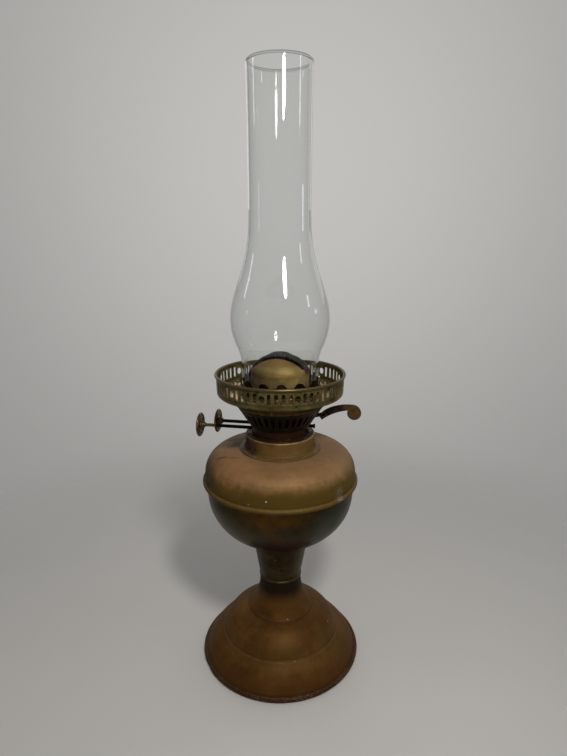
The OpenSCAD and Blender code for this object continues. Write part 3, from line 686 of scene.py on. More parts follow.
CROWN = brass("crown_brass", (0.024, 0.015, 0.009), (0.060, 0.038, 0.019), (0.130, 0.088, 0.040), rough=(0.30, 0.46), spin=0.2, mid=0.4, big=0.08,
              abraded_and_sheen_colour=(0.46, 0.34, 0.15), edge=0.9, chips=0.0, seed=131.0)
GLASS, COTTON, IRON, STEEL, FELT = glass(), cotton(), iron(), steel(), felt()


def dome_brass():
    """Brushed yellow brass, blued and blackened by the flames towards the slots."""
    mat = brass("dome_brass", (0.150, 0.096, 0.029), (0.236, 0.154, 0.046), (0.33, 0.226, 0.072), rough=(0.48, 0.62), spin=1.0, mid=0.25, big=0.05, metal=0.6, spec=0.15,
                tints=(((0.165, 0.145, 0.066), 0.05, 0.5, 0.68, 0.5, 13),), abraded_and_sheen_colour=(0.5, 0.4, 0.18), edge=0.2, chips=0.0, seed=139.0)
    m = Mat.__new__(Mat)
    m.mat, m.nt = mat, mat.node_tree
    m.bsdf = next(n for n in m.nt.nodes if n.type == "BSDF_PRINCIPLED")
    m.p = next(n for n in m.nt.nodes if n.type == "VECT_MATH" and n.operation == "SCALE").outputs[0]
    col = m.bsdf.inputs["Base Color"].links[0].from_socket
    x, y, z = m.xyz()
    rag = m.math("MULTIPLY", m.math("SUBTRACT", m.noise(0.14, 4, 0.6, shift=3), 0.5), 7.0)
    # painted shade: the dome made darker and greyer towards the left, full brightness on the right
    painted_left_shade = m.ramp(m.remap(m.math("ADD", x, m.math("MULTIPLY", rag, 0.6)), -24.0, 24.0), (0.0, (0.54, 0.56, 0.58)), (0.5, (0.68, 0.67, 0.65)), (1.0, (1.0, 1.0, 1.0)))
    col = m.mix(1.0, col, painted_left_shade, "MULTIPLY")
    bridge = m.math("MULTIPLY", m.remap(m.math("ADD", m.math("ABSOLUTE", y), rag), 11.5, 7.6), m.remap(m.math("ADD", z, rag), 272.0, 280.0))
    tint = m.ramp(bridge, (0.0, (0.18, 0.120, 0.045)), (0.30, (0.085, 0.042, 0.020)), (0.6, (0.018, 0.015, 0.015)), (1.0, (0.015, 0.015, 0.016)))
    col = m.mix(m.remap(bridge, 0.0, 0.6, 0.0, 0.96), col, tint)
    # a brown blush towards the slots
    blush = m.math("MULTIPLY", m.remap(m.math("ADD", m.math("ABSOLUTE", y), rag), 20.0, 13.0, 0.0, 0.6), m.remap(m.math("ADD", z, rag), 277.0, 288.0))
    blush = m.math("MULTIPLY", blush, m.remap(bridge, 0.0, 0.3, 1.0, 0.0))
    col = m.mix(blush, col, (0.160, 0.085, 0.032))
    # soot on the inside
    wide = m.math("SQRT", m.math("ADD", m.math("MULTIPLY", x, x), m.math("MULTIPLY", y, y)))
    up = m.math("SUBTRACT", z, 260.2)
    ball = m.math("SQRT", m.math("ADD", m.math("MULTIPLY", wide, wide), m.math("MULTIPLY", up, up)))
    depth = m.math("MAXIMUM", m.math("SUBTRACT", wide, 25.0), m.math("SUBTRACT", ball, 31.0))
    col = m.mix(m.remap(depth, -0.60, -0.74, 0.0, 0.97), col, (0.012, 0.011, 0.010))
    m.set("Base Color", col)
    return mat


DOME = dome_brass()


# ------------------------------------------------------------------ foot and stem
rim = arc((71.4, 2.6), 2.6, 200, 452, 40)
skirt = bow((70.7, 5.35), (54.5, 24.95), 1.85, 30)
ridge = arc((54.1, 25.1), 0.45, -18, 118, 8)
dome2 = bow((53.2, 25.95), (30.75, 46.55), 4.15, 64)
# a faint second ring just below the upper crease, left by the spinning tool
dome2 = [(r + 0.04 * math.exp(-((z - 43.6) / 0.9) ** 2) - 0.04 * math.exp(-((z - 45.4) / 0.8) ** 2),
          z + 0.04 * math.exp(-((z - 43.6) / 0.9) ** 2) - 0.04 * math.exp(-((z - 45.4) / 0.8) ** 2)) for r, z in dome2]
flare = bow((30.2, 46.95), (19.0, 77.6), -3.0, 30)
foot_out = join(rim, skirt, ridge, dome2, flare, [(18.75, 78.5), (18.3, 78.8)])
foot_in = join(flare[::-1], dome2[::-1], skirt[::-1])
foot_in = [(r - 1.0 if z > 46 else r - 0.75, z - (0.2 if z > 46 else 0.75)) for r, z in foot_in] + [(69.2, 4.6)]
bm = bmesh.new()
lathe(bm, join(foot_out, [(4.0, 78.8), (4.0, 77.8), (17.2, 77.8)], foot_in), 224, closed=True)
wobble(bm, 0.22, 34, 1.0, lambda c: 1.0 if c.z < 74 else 0.0)
dent(bm, (64.5 * math.cos(-1.2), 64.5 * math.sin(-1.2), 14), 8, 0.45)
dent(bm, (44 * math.cos(-2.3), 44 * math.sin(-2.3), 36), 7, 0.35)
dent(bm, (74 * math.cos(-2.5), 74 * math.sin(-2.5), 2.6), 9, 0.5)
stand_for(to_object("foot_spun", bm, 28), "foot_brass", FOOT, "foot_shell")

bm = bmesh.new()
cup = join(arc((18.3, 80.1), 1.3, -150, 62, 16), [(18.95, 81.7)], [(18.95 + (25.8 - 18.95) * i / 24, 81.7 + (120.5 - 81.7) * i / 24) for i in range(25)])
cup_in = [(24.8 - (24.8 - 17.6) * i / 24, 120.5 - 40.1 * i / 24) for i in range(25)]
lathe(bm, join(cup, cup_in, [(17.2, 80.0), (4.0, 80.0), (4.0, 78.85), (17.1, 78.85)]), 176, closed=True)
wobble(bm, 0.12, 22, 5.0, lambda c: min(1.0, max(0.0, (c.z - 84) / 8)))
stand_for(to_object("stem_sleeve", bm, 28), "stem_brass", STEM, "stem_cup")

# ------------------------------------------------------------------ font
bm = bmesh.new()
bowl = join([(0.0, 120.0)], [(17.0 * i / 6, 120.0) for i in range(1, 7)], arc((17, 168), 48, -90, 0, 56), [(65.0, 172.0), (65.0, 176.6)])
bowl_in = join([(64.0, 176.6), (64.0, 172.0)], arc((17, 168), 47, 0, -90, 40), [(8.0, 121.0), (0.0, 121.0)])
lathe(bm, join(bowl, bowl_in), 240)
wobble(bm, 0.28, 40, 2.0, lambda c: max(0.0, min(1.0, (c.z - 122) / 10)) * max(0.0, min(1.0, (176 - c.z) / 10)))
dent(bm, (62 * math.cos(-0.75), 62 * math.sin(-0.75), 152), 15, 0.7)
stand_for(to_object("font_bowl", bm, 28), "bowl_brass", BOWL, "font_lower")

bm = bmesh.new()
wall_c = (47.0, 206 - 1.4 - 19.5 * math.sin(math.radians(80)))
top_edge = (wall_c[0] + 19.5 * math.cos(math.radians(80)), wall_c[1] + 19.5 * math.sin(math.radians(80)))
seam = join([(65.15, 176.2)], arc((66.9, 177.4), 2.1, -128, 62, 22), [(67.35, 179.75), (66.75, 180.2)])
shoulder = join([(66.5, 180.9), (66.5, 183.0)], arc(wall_c, 19.5, 0, 80, 40), bow(top_edge, (36.5, 206), 0.25, 14), [(33.0, 206.0), (29.5, 206.0)])
shell = join(seam, shoulder)
under = join([(29.5, 205.0), (36.5, 205.0)], bow((36.5, 205.0), (top_edge[0], top_edge[1] - 1.0), -0.25, 8), arc(wall_c, 18.5, 80, 0, 28), [(65.5, 181.0), (65.15, 178.0)])
lathe(bm, join(shell, under), 240, closed=True)
wobble(bm, 0.25, 44, 3.0, lambda c: max(0.0, min(1.0, (math.hypot(c.x, c.y) - 37) / 8)))
dent(bm, (64 * math.cos(-2.05), 64 * math.sin(-2.05), 192), 10, 0.45)
dent(bm, (68.6 * math.cos(-0.62), 68.6 * math.sin(-0.62), 178), 8, 0.9)
dent(bm, (66 * math.cos(-1.35), 66 * math.sin(-1.35), 188), 6, 0.3)
dent(bm, (67 * math.cos(1.2), 67 * math.sin(1.2), 186), 12, 0.6)
stand_for(to_object("font_shoulder", bm, 28), "font_brass", FONT, "font_upper")

bm = bmesh.new()
ring = join([(31.4, 206.0), (35.2, 206.0)], arc((35.1, 206.55), 0.52, -60, 100, 12), [(34.5, 207.12)], bow((33.9, 207.2), (30.45, 210.6), -0.75, 18),
            [(30.3, 212.6), (30.3, 216.0), (30.3, 218.9)], arc((29.2, 218.9), 1.1, 0, 90, 10), [(27.4, 220.0), (27.4, 218.9), (29.1, 218.7), (29.1, 213.4), (31.4, 208.6)])
lathe(bm, ring, 208, closed=True)
stand_for(to_object("font_neck_ring", bm, 28), "font_brass", NECK, "font_neck")

# ------------------------------------------------------------------ burner
bm = bmesh.new()
lathe(bm, join([(24.9, 209.0), (25.7, 209.0), (26.0, 209.4), (26.0, 219.9), (26.2, 220.02), (28.9, 220.02)], arc((28.8, 220.5), 0.45, -70, 80, 8),
               [(27.6, 221.0), (23.6, 221.0), (23.6, 220.2), (24.9, 219.2)]), 176, closed=True)
stand_for(to_object("burner_collar_ring", bm, 28), "black_brass", BLACK, "burner_collar")

CONE = ((26.6, 228.8), (36.7, 244.6))
cone_len = math.hypot(CONE[1][0] - CONE[0][0], CONE[1][1] - CONE[0][1])
cone_k = (CONE[1][1] - CONE[0][1]) / cone_len


def cone_r(v):
    return CONE[0][0] + (CONE[1][0] - CONE[0][0]) * v / cone_len


def cone_place(a, v):
    r = cone_r(v)
    return (r * math.cos(a), r * math.sin(a), CONE[0][1] + (CONE[1][1] - CONE[0][1]) * v / cone_len)


def cone_v(z):
    return (z - CONE[0][1]) / cone_k


def basket_hole(k):
    if k == 0:
        return (cone_v(236.5), 1.1, (243.0 - 230.0) / 2 / cone_k, 0.35)
    return (cone_v(237.8), 1.5, 10.4 / 2 / cone_k, 1.1)


bm = bmesh.new()
nu, SLOTS = 6, 36
lathe(bm, join([(25.0, 221.0), (25.0, 223.0), (25.0, 227.4)], bow((25.0, 227.4), (25.9, 228.5), -0.2, 4), [(26.6, 228.8)],
               [cone_place(0, cone_v(229.6))[::2]]), SLOTS * nu, phase=-math.pi / SLOTS)
tile_band(bm, SLOTS, 0.0, cone_v(229.6), cone_v(244.0), basket_hole, cone_place, cone_r, nu=nu, nv=12, rings=3)
lathe(bm, join([cone_place(0, cone_v(244.0))[::2]], [(36.55, 244.5)], arc((35.9, 246.2), 1.6, -58, 61, 14), [(36.0, 247.6), (34.6, 247.5)]),
      SLOTS * nu, phase=-math.pi / SLOTS)
bmesh.ops.remove_doubles(bm, verts=bm.verts, dist=1e-3)
basket = to_object("basket_pierced", bm, 30, fix=False)
solidify(basket, 0.8)
settle(basket, 30)
for s in (-1, 1):
    bm = bmesh.new()
    lathe(bm, [(0, -40), (1.55, -40), (1.55, 40), (0, 40)], 28)
    to_x_axis(bm, 0, 6.6 * s, 224.5)
    cut(basket, to_object("tool", bm))
bevel(basket, 0.16, 55, 2)
settle(basket, 34)
stand_for(basket, "black_brass", BLACK, "basket")

# ------------------------------------------------------------------ wick raisers
KNOB_PROFILE = join(
    [(1.5, 4.6), (2.0, 4.6)], arc((2.0, 4.2), 0.4, 90, 0, 4), [(2.4, 3.45)], arc((2.9, 3.2), 0.45, 150, 30, 5), [(3.4, 2.8), (3.4, 1.7)],
    arc((4.5, 1.7), 1.1, 180, 270, 6), [(5.3, 0.6)], arc((6.4, 0.25), 0.92, 158, 22, 10), [(7.5, 0.55), (8.3, 0.5)],
    arc((9.5, 0.0), 1.0, 150, -150, 26), [(8.3, -0.5), (7.5, -0.55)], arc((6.4, -0.25), 0.92, -22, -158, 10), [(5.2, -0.6), (4.2, -0.65)],
    arc((3.2, -1.0), 0.4, 20, -90, 5), [(1.5, -1.4)])
for name, node, x, y in (("knob_front_turned", "knob_front", -70.8, -6.6), ("knob_rear_turned", "knob_rear", -58.3, 6.6)):
    bm = bmesh.new()
    lathe(bm, KNOB_PROFILE, 120)
    for v in bm.verts:                                # fine milling on the rim
        r = math.hypot(v.co.x, v.co.y)
        if r > 9.9:
            a = math.atan2(v.co.y, v.co.x)
            k = 1 + 0.010 * math.cos(60 * a) * (r - 9.9) / 0.6
            v.co.x, v.co.y = v.co.x * k, v.co.y * k
    to_x_axis(bm, x, y, 224.5)
    stand_for(to_object(name, bm, 34), "knob_bronze", KNOB, node)
for name, node, x0, x1, y, head in (("spindle_front_rod", "spindle_front", -72.7, 26.4, -6.6, False), ("spindle_rear_rod", "spindle_rear", -60.2, 30.0, 6.6, True)):
    bm = bmesh.new()
    end = join([(1.5, x1 - 2.0)], arc((1.7, x1 - 1.1), 0.32, -90, 0, 4), arc((1.7, x1 - 0.4), 0.38, 0, 80, 4), [(1.0, x1 - 0.02), (0, x1)]) if head else \
        join([(1.5, x1 - 0.5)], arc((1.1, x1 - 0.4), 0.4, 0, 90, 4), [(0, x1)])
    steps = [(1.5, x0 + 0.5 + (x1 - 2.6 - x0) * i / 40) for i in range(41)]
    lathe(bm, join([(0, x0)], arc((1.1, x0 + 0.4), 0.4, -90, 0, 4), steps, end), 40)
    to_x_axis(bm, 0, y, 224.5)
    stand_for(to_object(name, bm, 34), "black_brass", ROD, node)

# ------------------------------------------------------------------ extinguisher lever
def plate(name, outline, holes, y0, y1, edge):
    bm = bmesh.new()
    loops = [outline] + holes
    for y in (y0,):
        edges = []
        for lp in loops:
            vs = [bm.verts.new((p[0], y, p[1])) for p in lp]
            edges += [bm.edges.new((vs[i], vs[(i + 1) % len(vs)])) for i in range(len(vs))]
        bmesh.ops.triangle_fill(bm, use_beauty=True, use_dissolve=False, edges=edges)
    faces = list(bm.faces)
    ext = bmesh.ops.extrude_face_region(bm, geom=faces)
    bmesh.ops.translate(bm, vec=(0, y1 - y0, 0), verts=[e for e in ext["geom"] if isinstance(e, bmesh.types.BMVert)])
    ob = to_object(name, bm, 30)
    bevel(ob, edge, 40, 3)
    return settle(ob, 40)


thumb_c, thumb_r = (64.0, 241.0), 5.9
hook = (thumb_c[0] + thumb_r * math.cos(math.radians(158)), thumb_c[1] + thumb_r * math.sin(math.radians(158)))
tip_end = (thumb_c[0] + thumb_r * math.cos(math.radians(15)), thumb_c[1] + thumb_r * math.sin(math.radians(15)))
thumb = join(bow((33.9, 237.6), (47, 246.4), -1.2, 16), bow((47, 246.4), (61.5, 248.4), -0.7, 16), bow((61.5, 248.4), tip_end, -2, 14),
             arc(thumb_c, thumb_r, 15, -202, 48), bow((36.6, 233.6), hook, -1.7, 24)[::-1])
lever = plate("lever_thumb_piece", thumb, [], -2.0, -0.6, 0.3)
stand_for(lever, "lever_brown", LEVER, "lever_thumb")


def strip(a, b, w):
    dx, dy = b[0] - a[0], b[1] - a[1]
    return math.degrees(math.atan2(dy, dx))


piv, riv = (27.0, 236.0), (38.0, 238.2)
tip = (piv[0] - 17 * math.cos(math.radians(13.5)), piv[1] - 17 * math.sin(math.radians(13.5)))
a1, a2 = strip(tip, piv, 1), strip(piv, riv, 1)
arm = join(arc(tip, 1.5, a1 + 318, a1 + 42, 14), arc(piv, 2.9, a1 + 160, a2 + 34, 12), arc(riv, 1.9, a2 + 57, a2 - 57, 12), arc(piv, 2.9, a2 - 34, a1 - 160, 12))
stand_for(plate("lever_arm_piece", arm, [], -0.6, 0.6, 0.15), "black_brass", BLACK, "lever_arm")
bm = bmesh.new()
lathe(bm, join([(0, -2.55)], [(0.8, -2.5)], arc((1.0, -2.1), 0.42, -70, 0, 5), [(1.5, -2.0), (0.9, -1.98), (0.9, 0.62), (1.5, 0.62)], arc((1.05, 0.7), 0.42, 0, 70, 5), [(0, 1.1)]), 32)
bmesh.ops.transform(bm, matrix=Matrix.Translation((riv[0], 0, riv[1])) @ Matrix.Rotation(math.radians(-90), 4, "X"), verts=bm.verts)
stand_for(to_object("lever_rivet_head", bm, 34), "lever_brown", LEVER, "lever_rivet")

# ------------------------------------------------------------------ wicks
for name, node, y in (("wick_front_woven", "wick_front", -10.55), ("wick_rear_woven", "wick_rear", 10.55)):
    bm = bmesh.new()
    rows, n, half, hx = 176, 84, 1.22, 12.7
    per = 4 * hx + PI2 * half
    grid = []
    for j in range(rows + 1):
        z = 132.0 + 141.0 * j / rows
        ring_v = []
        for i in range(n):
            s = per * i / n
            if s < 2 * hx:
                px, py, nx, ny = -hx + s, -half, 0, -1
            elif s < 2 * hx + math.pi * half:
                t = (s - 2 * hx) / half - math.pi / 2
                px, py, nx, ny = hx + half * math.cos(t), half * math.sin(t), math.cos(t), math.sin(t)
            elif s < 4 * hx + math.pi * half:
                px, py, nx, ny = hx - (s - 2 * hx - math.pi * half), half, 0, 1
            else:
                t = (s - 4 * hx - math.pi * half) / half + math.pi / 2
                px, py, nx, ny = -hx + half * math.cos(t), half * math.sin(t), math.cos(t), math.sin(t)
            d = 0.10 * math.sin(PI2 * i / 3.0 + math.pi * j) * math.cos(PI2 * j / 4.0)
            d += 0.05 * smooth_rand((px, y, z), 3.0, 2)
            if j == 0:
                d -= 0.25
            zz = z - (0.35 * (0.5 + 0.5 * smooth_rand((px * 2, y, 0), 1.3, 9)) if j in (0, rows) else 0)
            ring_v.append(bm.verts.new((px + nx * d, y + py + ny * d, max(132.0, zz) if j else z)))
        grid.append(ring_v)
    for j in range(rows):
        for i in range(n):
            k = (i + 1) % n
            bm.faces.new((grid[j][i], grid[j][k], grid[j + 1][k], grid[j + 1][i]))
    bm.faces.new(grid[0][::-1])
    bm.faces.new(grid[rows])
    stand_for(to_object(name, bm, 60), "wick_cotton", COTTON, node)

# ------------------------------------------------------------------ gallery
def wall_r(v):
    return 54.2 + 0.4 * (v - 258.4) / 13.2


def wall_place(a, v):
    r = wall_r(v)
    return (r * math.cos(a), r * math.sin(a), v)


def gallery_hole(k):
    if k % 5 == 0:
        return (265.4, 2.5, 2.8, 2.45)
    return (265.4, 1.4, 4.4, 0.45)


bm = bmesh.new()
nu, ph = 4, math.radians(25 - 3)
lathe(bm, join([(30.2, 258.0), (40.0, 258.0), (45.4, 258.0), (46.4, 257.7)], arc((51.2, 258.4), 3.0, -120, 0, 14), [(wall_r(259.4), 259.4), (wall_r(260.4), 260.4)]), 60 * nu, phase=ph)
tile_band(bm, 60, math.radians(25), 260.4, 270.4, gallery_hole, wall_place, wall_r, nu=nu, nv=8, rings=2)
lathe(bm, [(wall_r(270.4), 270.4), (wall_r(271.0), 271.0), (54.6, 271.8), (54.65, 272.5)], 60 * nu, phase=ph)
bmesh.ops.remove_doubles(bm, verts=bm.verts, dist=1e-3)
gallery = to_object("gallery_band", bm, 30, fix=False)
solidify(gallery, 0.9)
bevel(gallery, 0.14, 55, 2)
settle(gallery, 34)
bm = bmesh.new()
lathe(bm, arc((54.75, 273.0), 1.2, 0, 345, 23), 60 * nu, closed=True, phase=ph)
lip = to_object("lip", bm, 40)
with bpy.context.temp_override(active_object=gallery, object=gallery, selected_objects=[gallery, lip], selected_editable_objects=[gallery, lip]):
    bpy.ops.object.join()
stand_for(gallery, "gallery_brass", GALLERY, "gallery_ring")

bm = bmesh.new()
lathe(bm, join([(28.0, 248.4), (28.0, 247.6), (37.3, 247.6)], [(37.9, 247.3), (37.9, 246.9), (38.1, 246.8), (38.5, 246.8), (38.7, 247.0)],
               [(38.7, 249.0), (38.7, 252.5), (38.7, 257.2)], bow((38.7, 257.2), (39.4, 257.95), -0.15, 4), [(38.6, 258.0), (37.9, 258.0), (37.9, 248.6), (37.2, 248.4)]), 192, closed=True)
stand_for(to_object("gallery_skirt", bm, 28), "gallery_brass", COLLAR, "gallery_collar")

bm = bmesh.new()
lathe(bm, join([(33.42, 259.0), (36.6, 259.0), (36.8, 259.2), (36.8, 259.5), (36.6, 259.7), (33.42, 259.7)]), 224, closed=True)
crown_ring = to_object("crown_ring", bm, 30)
bm = bmesh.new()
for f in range(14):
    mid = math.radians(282 + f * 360 / 14)
    rows, cols = 22, 10
    grid = []
    for j in range(rows + 1):
        t = j / rows
        v = 13.2 * (1 - (1 - t) ** 1.35)
        hw = 6.2 if v <= 5.2 else 6.2 * math.sqrt(max(1 - ((v - 5.2) / 8.0) ** 1.6, 0.0003))
        r = 33.46 + 0.45 * (v / 13.2) ** 3
        row = []
        for i in range(cols + 1):
            u = -hw + 2 * hw * i / cols
            row.append(bm.verts.new((r * math.cos(mid + u / r), r * math.sin(mid + u / r), 259.3 + v * 12.9 / 13.2)))
        grid.append(row)
    for j in range(rows):
        for i in range(cols):
            bm.faces.new((grid[j][i], grid[j][i + 1], grid[j + 1][i + 1], grid[j + 1][i]))
crown = to_object("chimney_fingers", bm, 30, fix=False)
solidify(crown, 0.55, 1.0)
bevel(crown, 0.12, 55, 2)
settle(crown, 36)
with bpy.context.temp_override(active_object=crown, object=crown, selected_objects=[crown, crown_ring], selected_editable_objects=[crown, crown_ring]):
    bpy.ops.object.join()
stand_for(crown, "gallery_brass", CROWN, "chimney_crown")

bm = bmesh.new()
turn = math.degrees(math.acos(15 / 21))
crown_z = 274.9 - 21 * math.sin(math.radians(turn))
outer = join([(31.3, 248.4), (31.4, 248.8), (31.2, 249.2), (25.8, 249.2), (25.2, 249.5), (25.0, 250.0)], [(25.0, 250 + 24.9 * i / 14) for i in range(1, 15)],
             arc((15, 274.9), 10, 0, turn, 22), arc((0, crown_z), 31, turn, 90, 44))
outer[-1] = (0.0, crown_z + 31)
inner = join(arc((0, crown_z), 30.2, 90, turn, 36), arc((15, 274.9), 9.2, turn, 0, 16), [(24.2, 264.0), (24.2, 248.4)])
inner[0] = (0.0, crown_z + 30.2)
lathe(bm, outer, 208)
lathe(bm, inner, 208)
lathe(bm, [(24.2, 248.4), (31.3, 248.4)], 208)
bmesh.ops.remove_doubles(bm, verts=bm.verts, dist=1e-3)
dome = to_object("dome_spun", bm, 30)
for s in (-1, 1):
    bm = bmesh.new()
    plan = [(x, y + 9.8 * s) for cx, cy, a0 in ((20.3, 1.3, 0), (-20.3, 1.3, 90), (-20.3, -1.3, 180), (20.3, -1.3, 270))
            for x, y in arc((cx, cy), 1.2, a0, a0 + 90, 5)]
    low = [bm.verts.new((x, y, 279.5)) for x, y in plan]
    high = [bm.verts.new((x, y, 300.0)) for x, y in plan]
    bm.faces.new(low[::-1])
    bm.faces.new(high)
    for i in range(len(plan)):
        j = (i + 1) % len(plan)
        bm.faces.new((low[i], low[j], high[j], high[i]))
    cut(dome, to_object("tool", bm))
bevel(dome, 0.12, 60, 2)
settle(dome, 36)
stand_for(dome, "dome_brass", DOME, "dome")

# ------------------------------------------------------------------ chimney
glass_out = spline([(32.9, 260.2), (32.8, 268.0), (32.7, 277.0), (32.8, 283.0), (33.2, 287.0), (34.1, 291.0), (35.6, 295.4), (37.6, 300.2), (39.4, 305.6), (40.8, 311.5), (41.4, 318.5), (41.2, 324.6), (40.4, 330.4),
                    (39.0, 336.4), (35.3, 348.5), (31.1, 361.3), (27.9, 373.9), (25.9, 386.4), (25.15, 398.7), (25.0, 414.0), (24.95, 435.0), (24.95, 457.6), (25.15, 486.0), (25.4, 505.0), (25.45, 511.2)], 9)
wall = inset(glass_out, 1.7)
lip_top = arc((24.6, 511.9), 1.1, -28, 208, 22)
foot_edge = arc((32.05, 260.1), 0.95, 190, 350, 12)
bm = bmesh.new()
lathe(bm, join(foot_edge, glass_out[1:], lip_top, wall[::-1][:-1]), 208, closed=True)
for v in bm.verts:
    v.co.z = max(v.co.z, 259.0)
stand_for(to_object("chimney_blown", bm, 40), "chimney_glass", GLASS, "chimney")

# ------------------------------------------------------------------ CAD nodes that stay as they are
for node, mat in {"rim_wire": STEEL, "foot_weight": IRON, "base_felt": FELT, "tie_rod": STEEL, "tie_washer": STEEL, "tie_nut": STEEL, "font_boss": INNER,
                  "font_collar": INNER, "burner_floor": SOOTY, "air_plate": SOOTY, "wick_tube_front": SOOTY, "wick_tube_rear": SOOTY, "lever_bracket": BLACK,
                  "lever_pin": BLACK, "feed_wheel_front_left": INNER, "feed_wheel_front_right": INNER, "feed_wheel_rear_left": INNER,
                  "feed_wheel_rear_right": INNER, "snuffer_front": SOOTY, "snuffer_rear": SOOTY, "snuffer_yoke": SOOTY,
                  "dome_rivet_1": INNER, "dome_rivet_2": INNER, "dome_rivet_3": INNER, "dome_rivet_4": INNER}.items():
    me = NODES[node].data
    me.materials.clear()
    me.materials.append(mat)


# ------------------------------------------------------------------ studio
def studio():
    """A pale floor that fades out into the backdrop with distance."""
    m = Mat("studio_floor")
    n = m.noise(0.004, 4, 0.5)
    f = m.noise(0.25, 4, 0.6, shift=4)
    m.set("Base Color", m.mix(m.remap(n, 0.3, 0.7), (0.80, 0.79, 0.77), (0.84, 0.83, 0.815)))
    m.set("Roughness", 0.75)
    m.set("Specular IOR Level", 0.2)
    m.set("Normal", m.bump(f, 0.05, 0.1))
    x, y, z = m.xyz()
    clear = m.node("ShaderNodeBsdfTransparent")
    pick = m.node("ShaderNodeMixShader")
    m.link(m.remap(m.radius(x, y), 210.0, 640.0, 0.0, 1.0, "SMOOTHSTEP"), pick.inputs[0])
    m.link(m.bsdf.outputs["BSDF"], pick.inputs[1])
    m.link(clear.outputs["BSDF"], pick.inputs[2])
    m.link(pick.outputs["Shader"], m.out.inputs["Surface"])
    bm = bmesh.new()
    lathe(bm, [(0, 0), (200, 0), (400, 0), (700, 0)], 128)
    floor = to_object("studio_floor", bm, 60)
    floor.data.materials.append(m.mat)


def place_light(name, data, at, to, through):
    o = bpy.data.objects.new(name, data)
    o.location = at
    o.rotation_mode = "QUATERNION"
    o.rotation_quaternion = (Vector(to) - Vector(at)).to_track_quat("-Z", "Y")
    o.visible_camera = False
    o.visible_transmission = through
    SCENE.collection.objects.link(o)


def panel(name, at, to, size, radiance, colour, shape="RECTANGLE", through=False):
    """A soft light of that brightness; size in metres. Only one marked through is seen through the glass."""
    d = bpy.data.lights.new(name, "AREA")
    d.shape = shape
    d.size, d.size_y = size
    area = size[0] * size[1] * (math.pi / 4 if shape == "ELLIPSE" else 1.0)
    d.energy = radiance * math.pi * area
    d.color = colour
    place_light(name, d, at, to, through)


def aim(az, el, dist, mid=(0, 0, 0.24)):
    """Azimuth from the front towards +X."""
    a, e = math.radians(az), math.radians(el)
    return Vector(mid) + dist * Vector((math.sin(a) * math.cos(e), -math.cos(a) * math.cos(e), math.sin(e)))


def round_to(az, dist, z):
    a = math.radians(az)
    return (dist * math.sin(a), -dist * math.cos(a), z)


studio()
MID = (0, 0, 0.24)
panel("softbox_left", aim(-148, 24, 1.7), MID, (1.0, 1.0), 0.65, (1.0, 0.98, 0.95))
panel("softbox_right", aim(148, 24, 1.7), MID, (1.0, 1.0), 0.65, (1.0, 0.98, 0.95))
panel("key", (0.155, -0.345, 0.570), (0, 0, 0.28), (0.066, 0.100), 87.0, (1.0, 0.965, 0.91), "ELLIPSE", True)
panel("strip_left", round_to(-89, 1.5, 0.81), (0, 0, 0.48), (0.13, 0.20), 5.0, (0.97, 0.98, 1.0))
panel("strip_right", round_to(83, 1.5, 0.81), (0, 0, 0.48), (0.13, 0.20), 6.0, (0.97, 0.98, 1.0))
panel("strip_low_left", round_to(-70, 1.5, 0.49), (0, 0, 0.41), (0.10, 0.12), 3.2, (0.80, 0.91, 1.0))
panel("strip_low_right", round_to(100, 1.5, 0.48), (0, 0, 0.41), (0.20, 0.13), 5.0, (0.80, 0.91, 1.0))

world = bpy.data.worlds.new("studio")
world.use_nodes = True
nt = world.node_tree


def wnode(kind, **props):
    n = nt.nodes.new(kind)
    for k, v in props.items():
        setattr(n, k, v)
    return n


def ramp_between(value, lo, hi):
    n = wnode("ShaderNodeMapRange", interpolation_type="SMOOTHSTEP")
    nt.links.new(value, n.inputs["Value"])
    n.inputs["From Min"].default_value, n.inputs["From Max"].default_value = lo, hi
    return n.outputs["Result"]


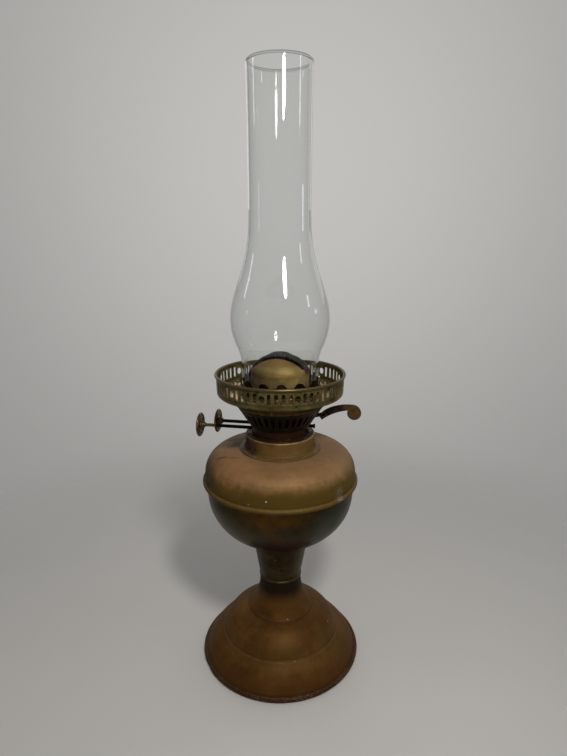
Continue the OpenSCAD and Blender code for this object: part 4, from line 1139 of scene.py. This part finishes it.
def wmix(fac, a, b):
    n = wnode("ShaderNodeMix", data_type="RGBA")
    nt.links.new(fac, n.inputs[0])
    for sock, v in ((n.inputs[6], a), (n.inputs[7], b)):
        if isinstance(v, tuple):
            sock.default_value = (*v, 1.0)
        else:
            nt.links.new(v, sock)
    return n.outputs[2]


way = wnode("ShaderNodeSeparateXYZ")
nt.links.new(wnode("ShaderNodeTexCoord").outputs["Generated"], way.inputs[0])
ahead = wnode("ShaderNodeVectorMath", operation="DOT_PRODUCT")
nt.links.new(wnode("ShaderNodeTexCoord").outputs["Generated"], ahead.inputs[0])
ahead.inputs[1].default_value = (-0.145, 0.983, 0.116)
glow = wnode("ShaderNodeValToRGB")
stops = ((0.10, (0.140, 0.137, 0.132)), (0.50, (0.188, 0.184, 0.177)), (0.80, (0.300, 0.295, 0.284)), (0.90, (0.395, 0.388, 0.372)), (1.0, (0.535, 0.528, 0.510)))
while len(glow.color_ramp.elements) < len(stops):
    glow.color_ramp.elements.new(0.5)
for e, (at, c) in zip(glow.color_ramp.elements, stops):
    e.position, e.color = at, (*c, 1.0)
nt.links.new(ahead.outputs["Value"], glow.inputs["Fac"])
sky = wmix(ramp_between(way.outputs[2], 0.42, 0.80), glow.outputs["Color"], (0.135, 0.132, 0.128))
# what is seen of the backdrop, also through the glass, stays pale all round
path = wnode("ShaderNodeLightPath")
seen = wnode("ShaderNodeMath", operation="MAXIMUM")
nt.links.new(path.outputs["Is Camera Ray"], seen.inputs[0])
nt.links.new(path.outputs["Is Transmission Ray"], seen.inputs[1])
pale = wnode("ShaderNodeValToRGB")
steps = [0.56 + 0.44 * i / 11 for i in range(12)]
while len(pale.color_ramp.elements) < len(steps):
    pale.color_ramp.elements.new(0.5)
for e, at in zip(pale.color_ramp.elements, steps):
    v = 0.290 + 0.245 * ((at - 0.56) / 0.44) ** 3
    e.position, e.color = at, (v, 0.986 * v, 0.952 * v, 1.0)
nt.links.new(ahead.outputs["Value"], pale.inputs["Fac"])
nt.links.new(wmix(seen.outputs[0], sky, pale.outputs["Color"]), nt.nodes["Background"].inputs["Color"])
SCENE.world = world
SCENE.view_settings.view_transform = "Standard"
SCENE.view_settings.look = "None"
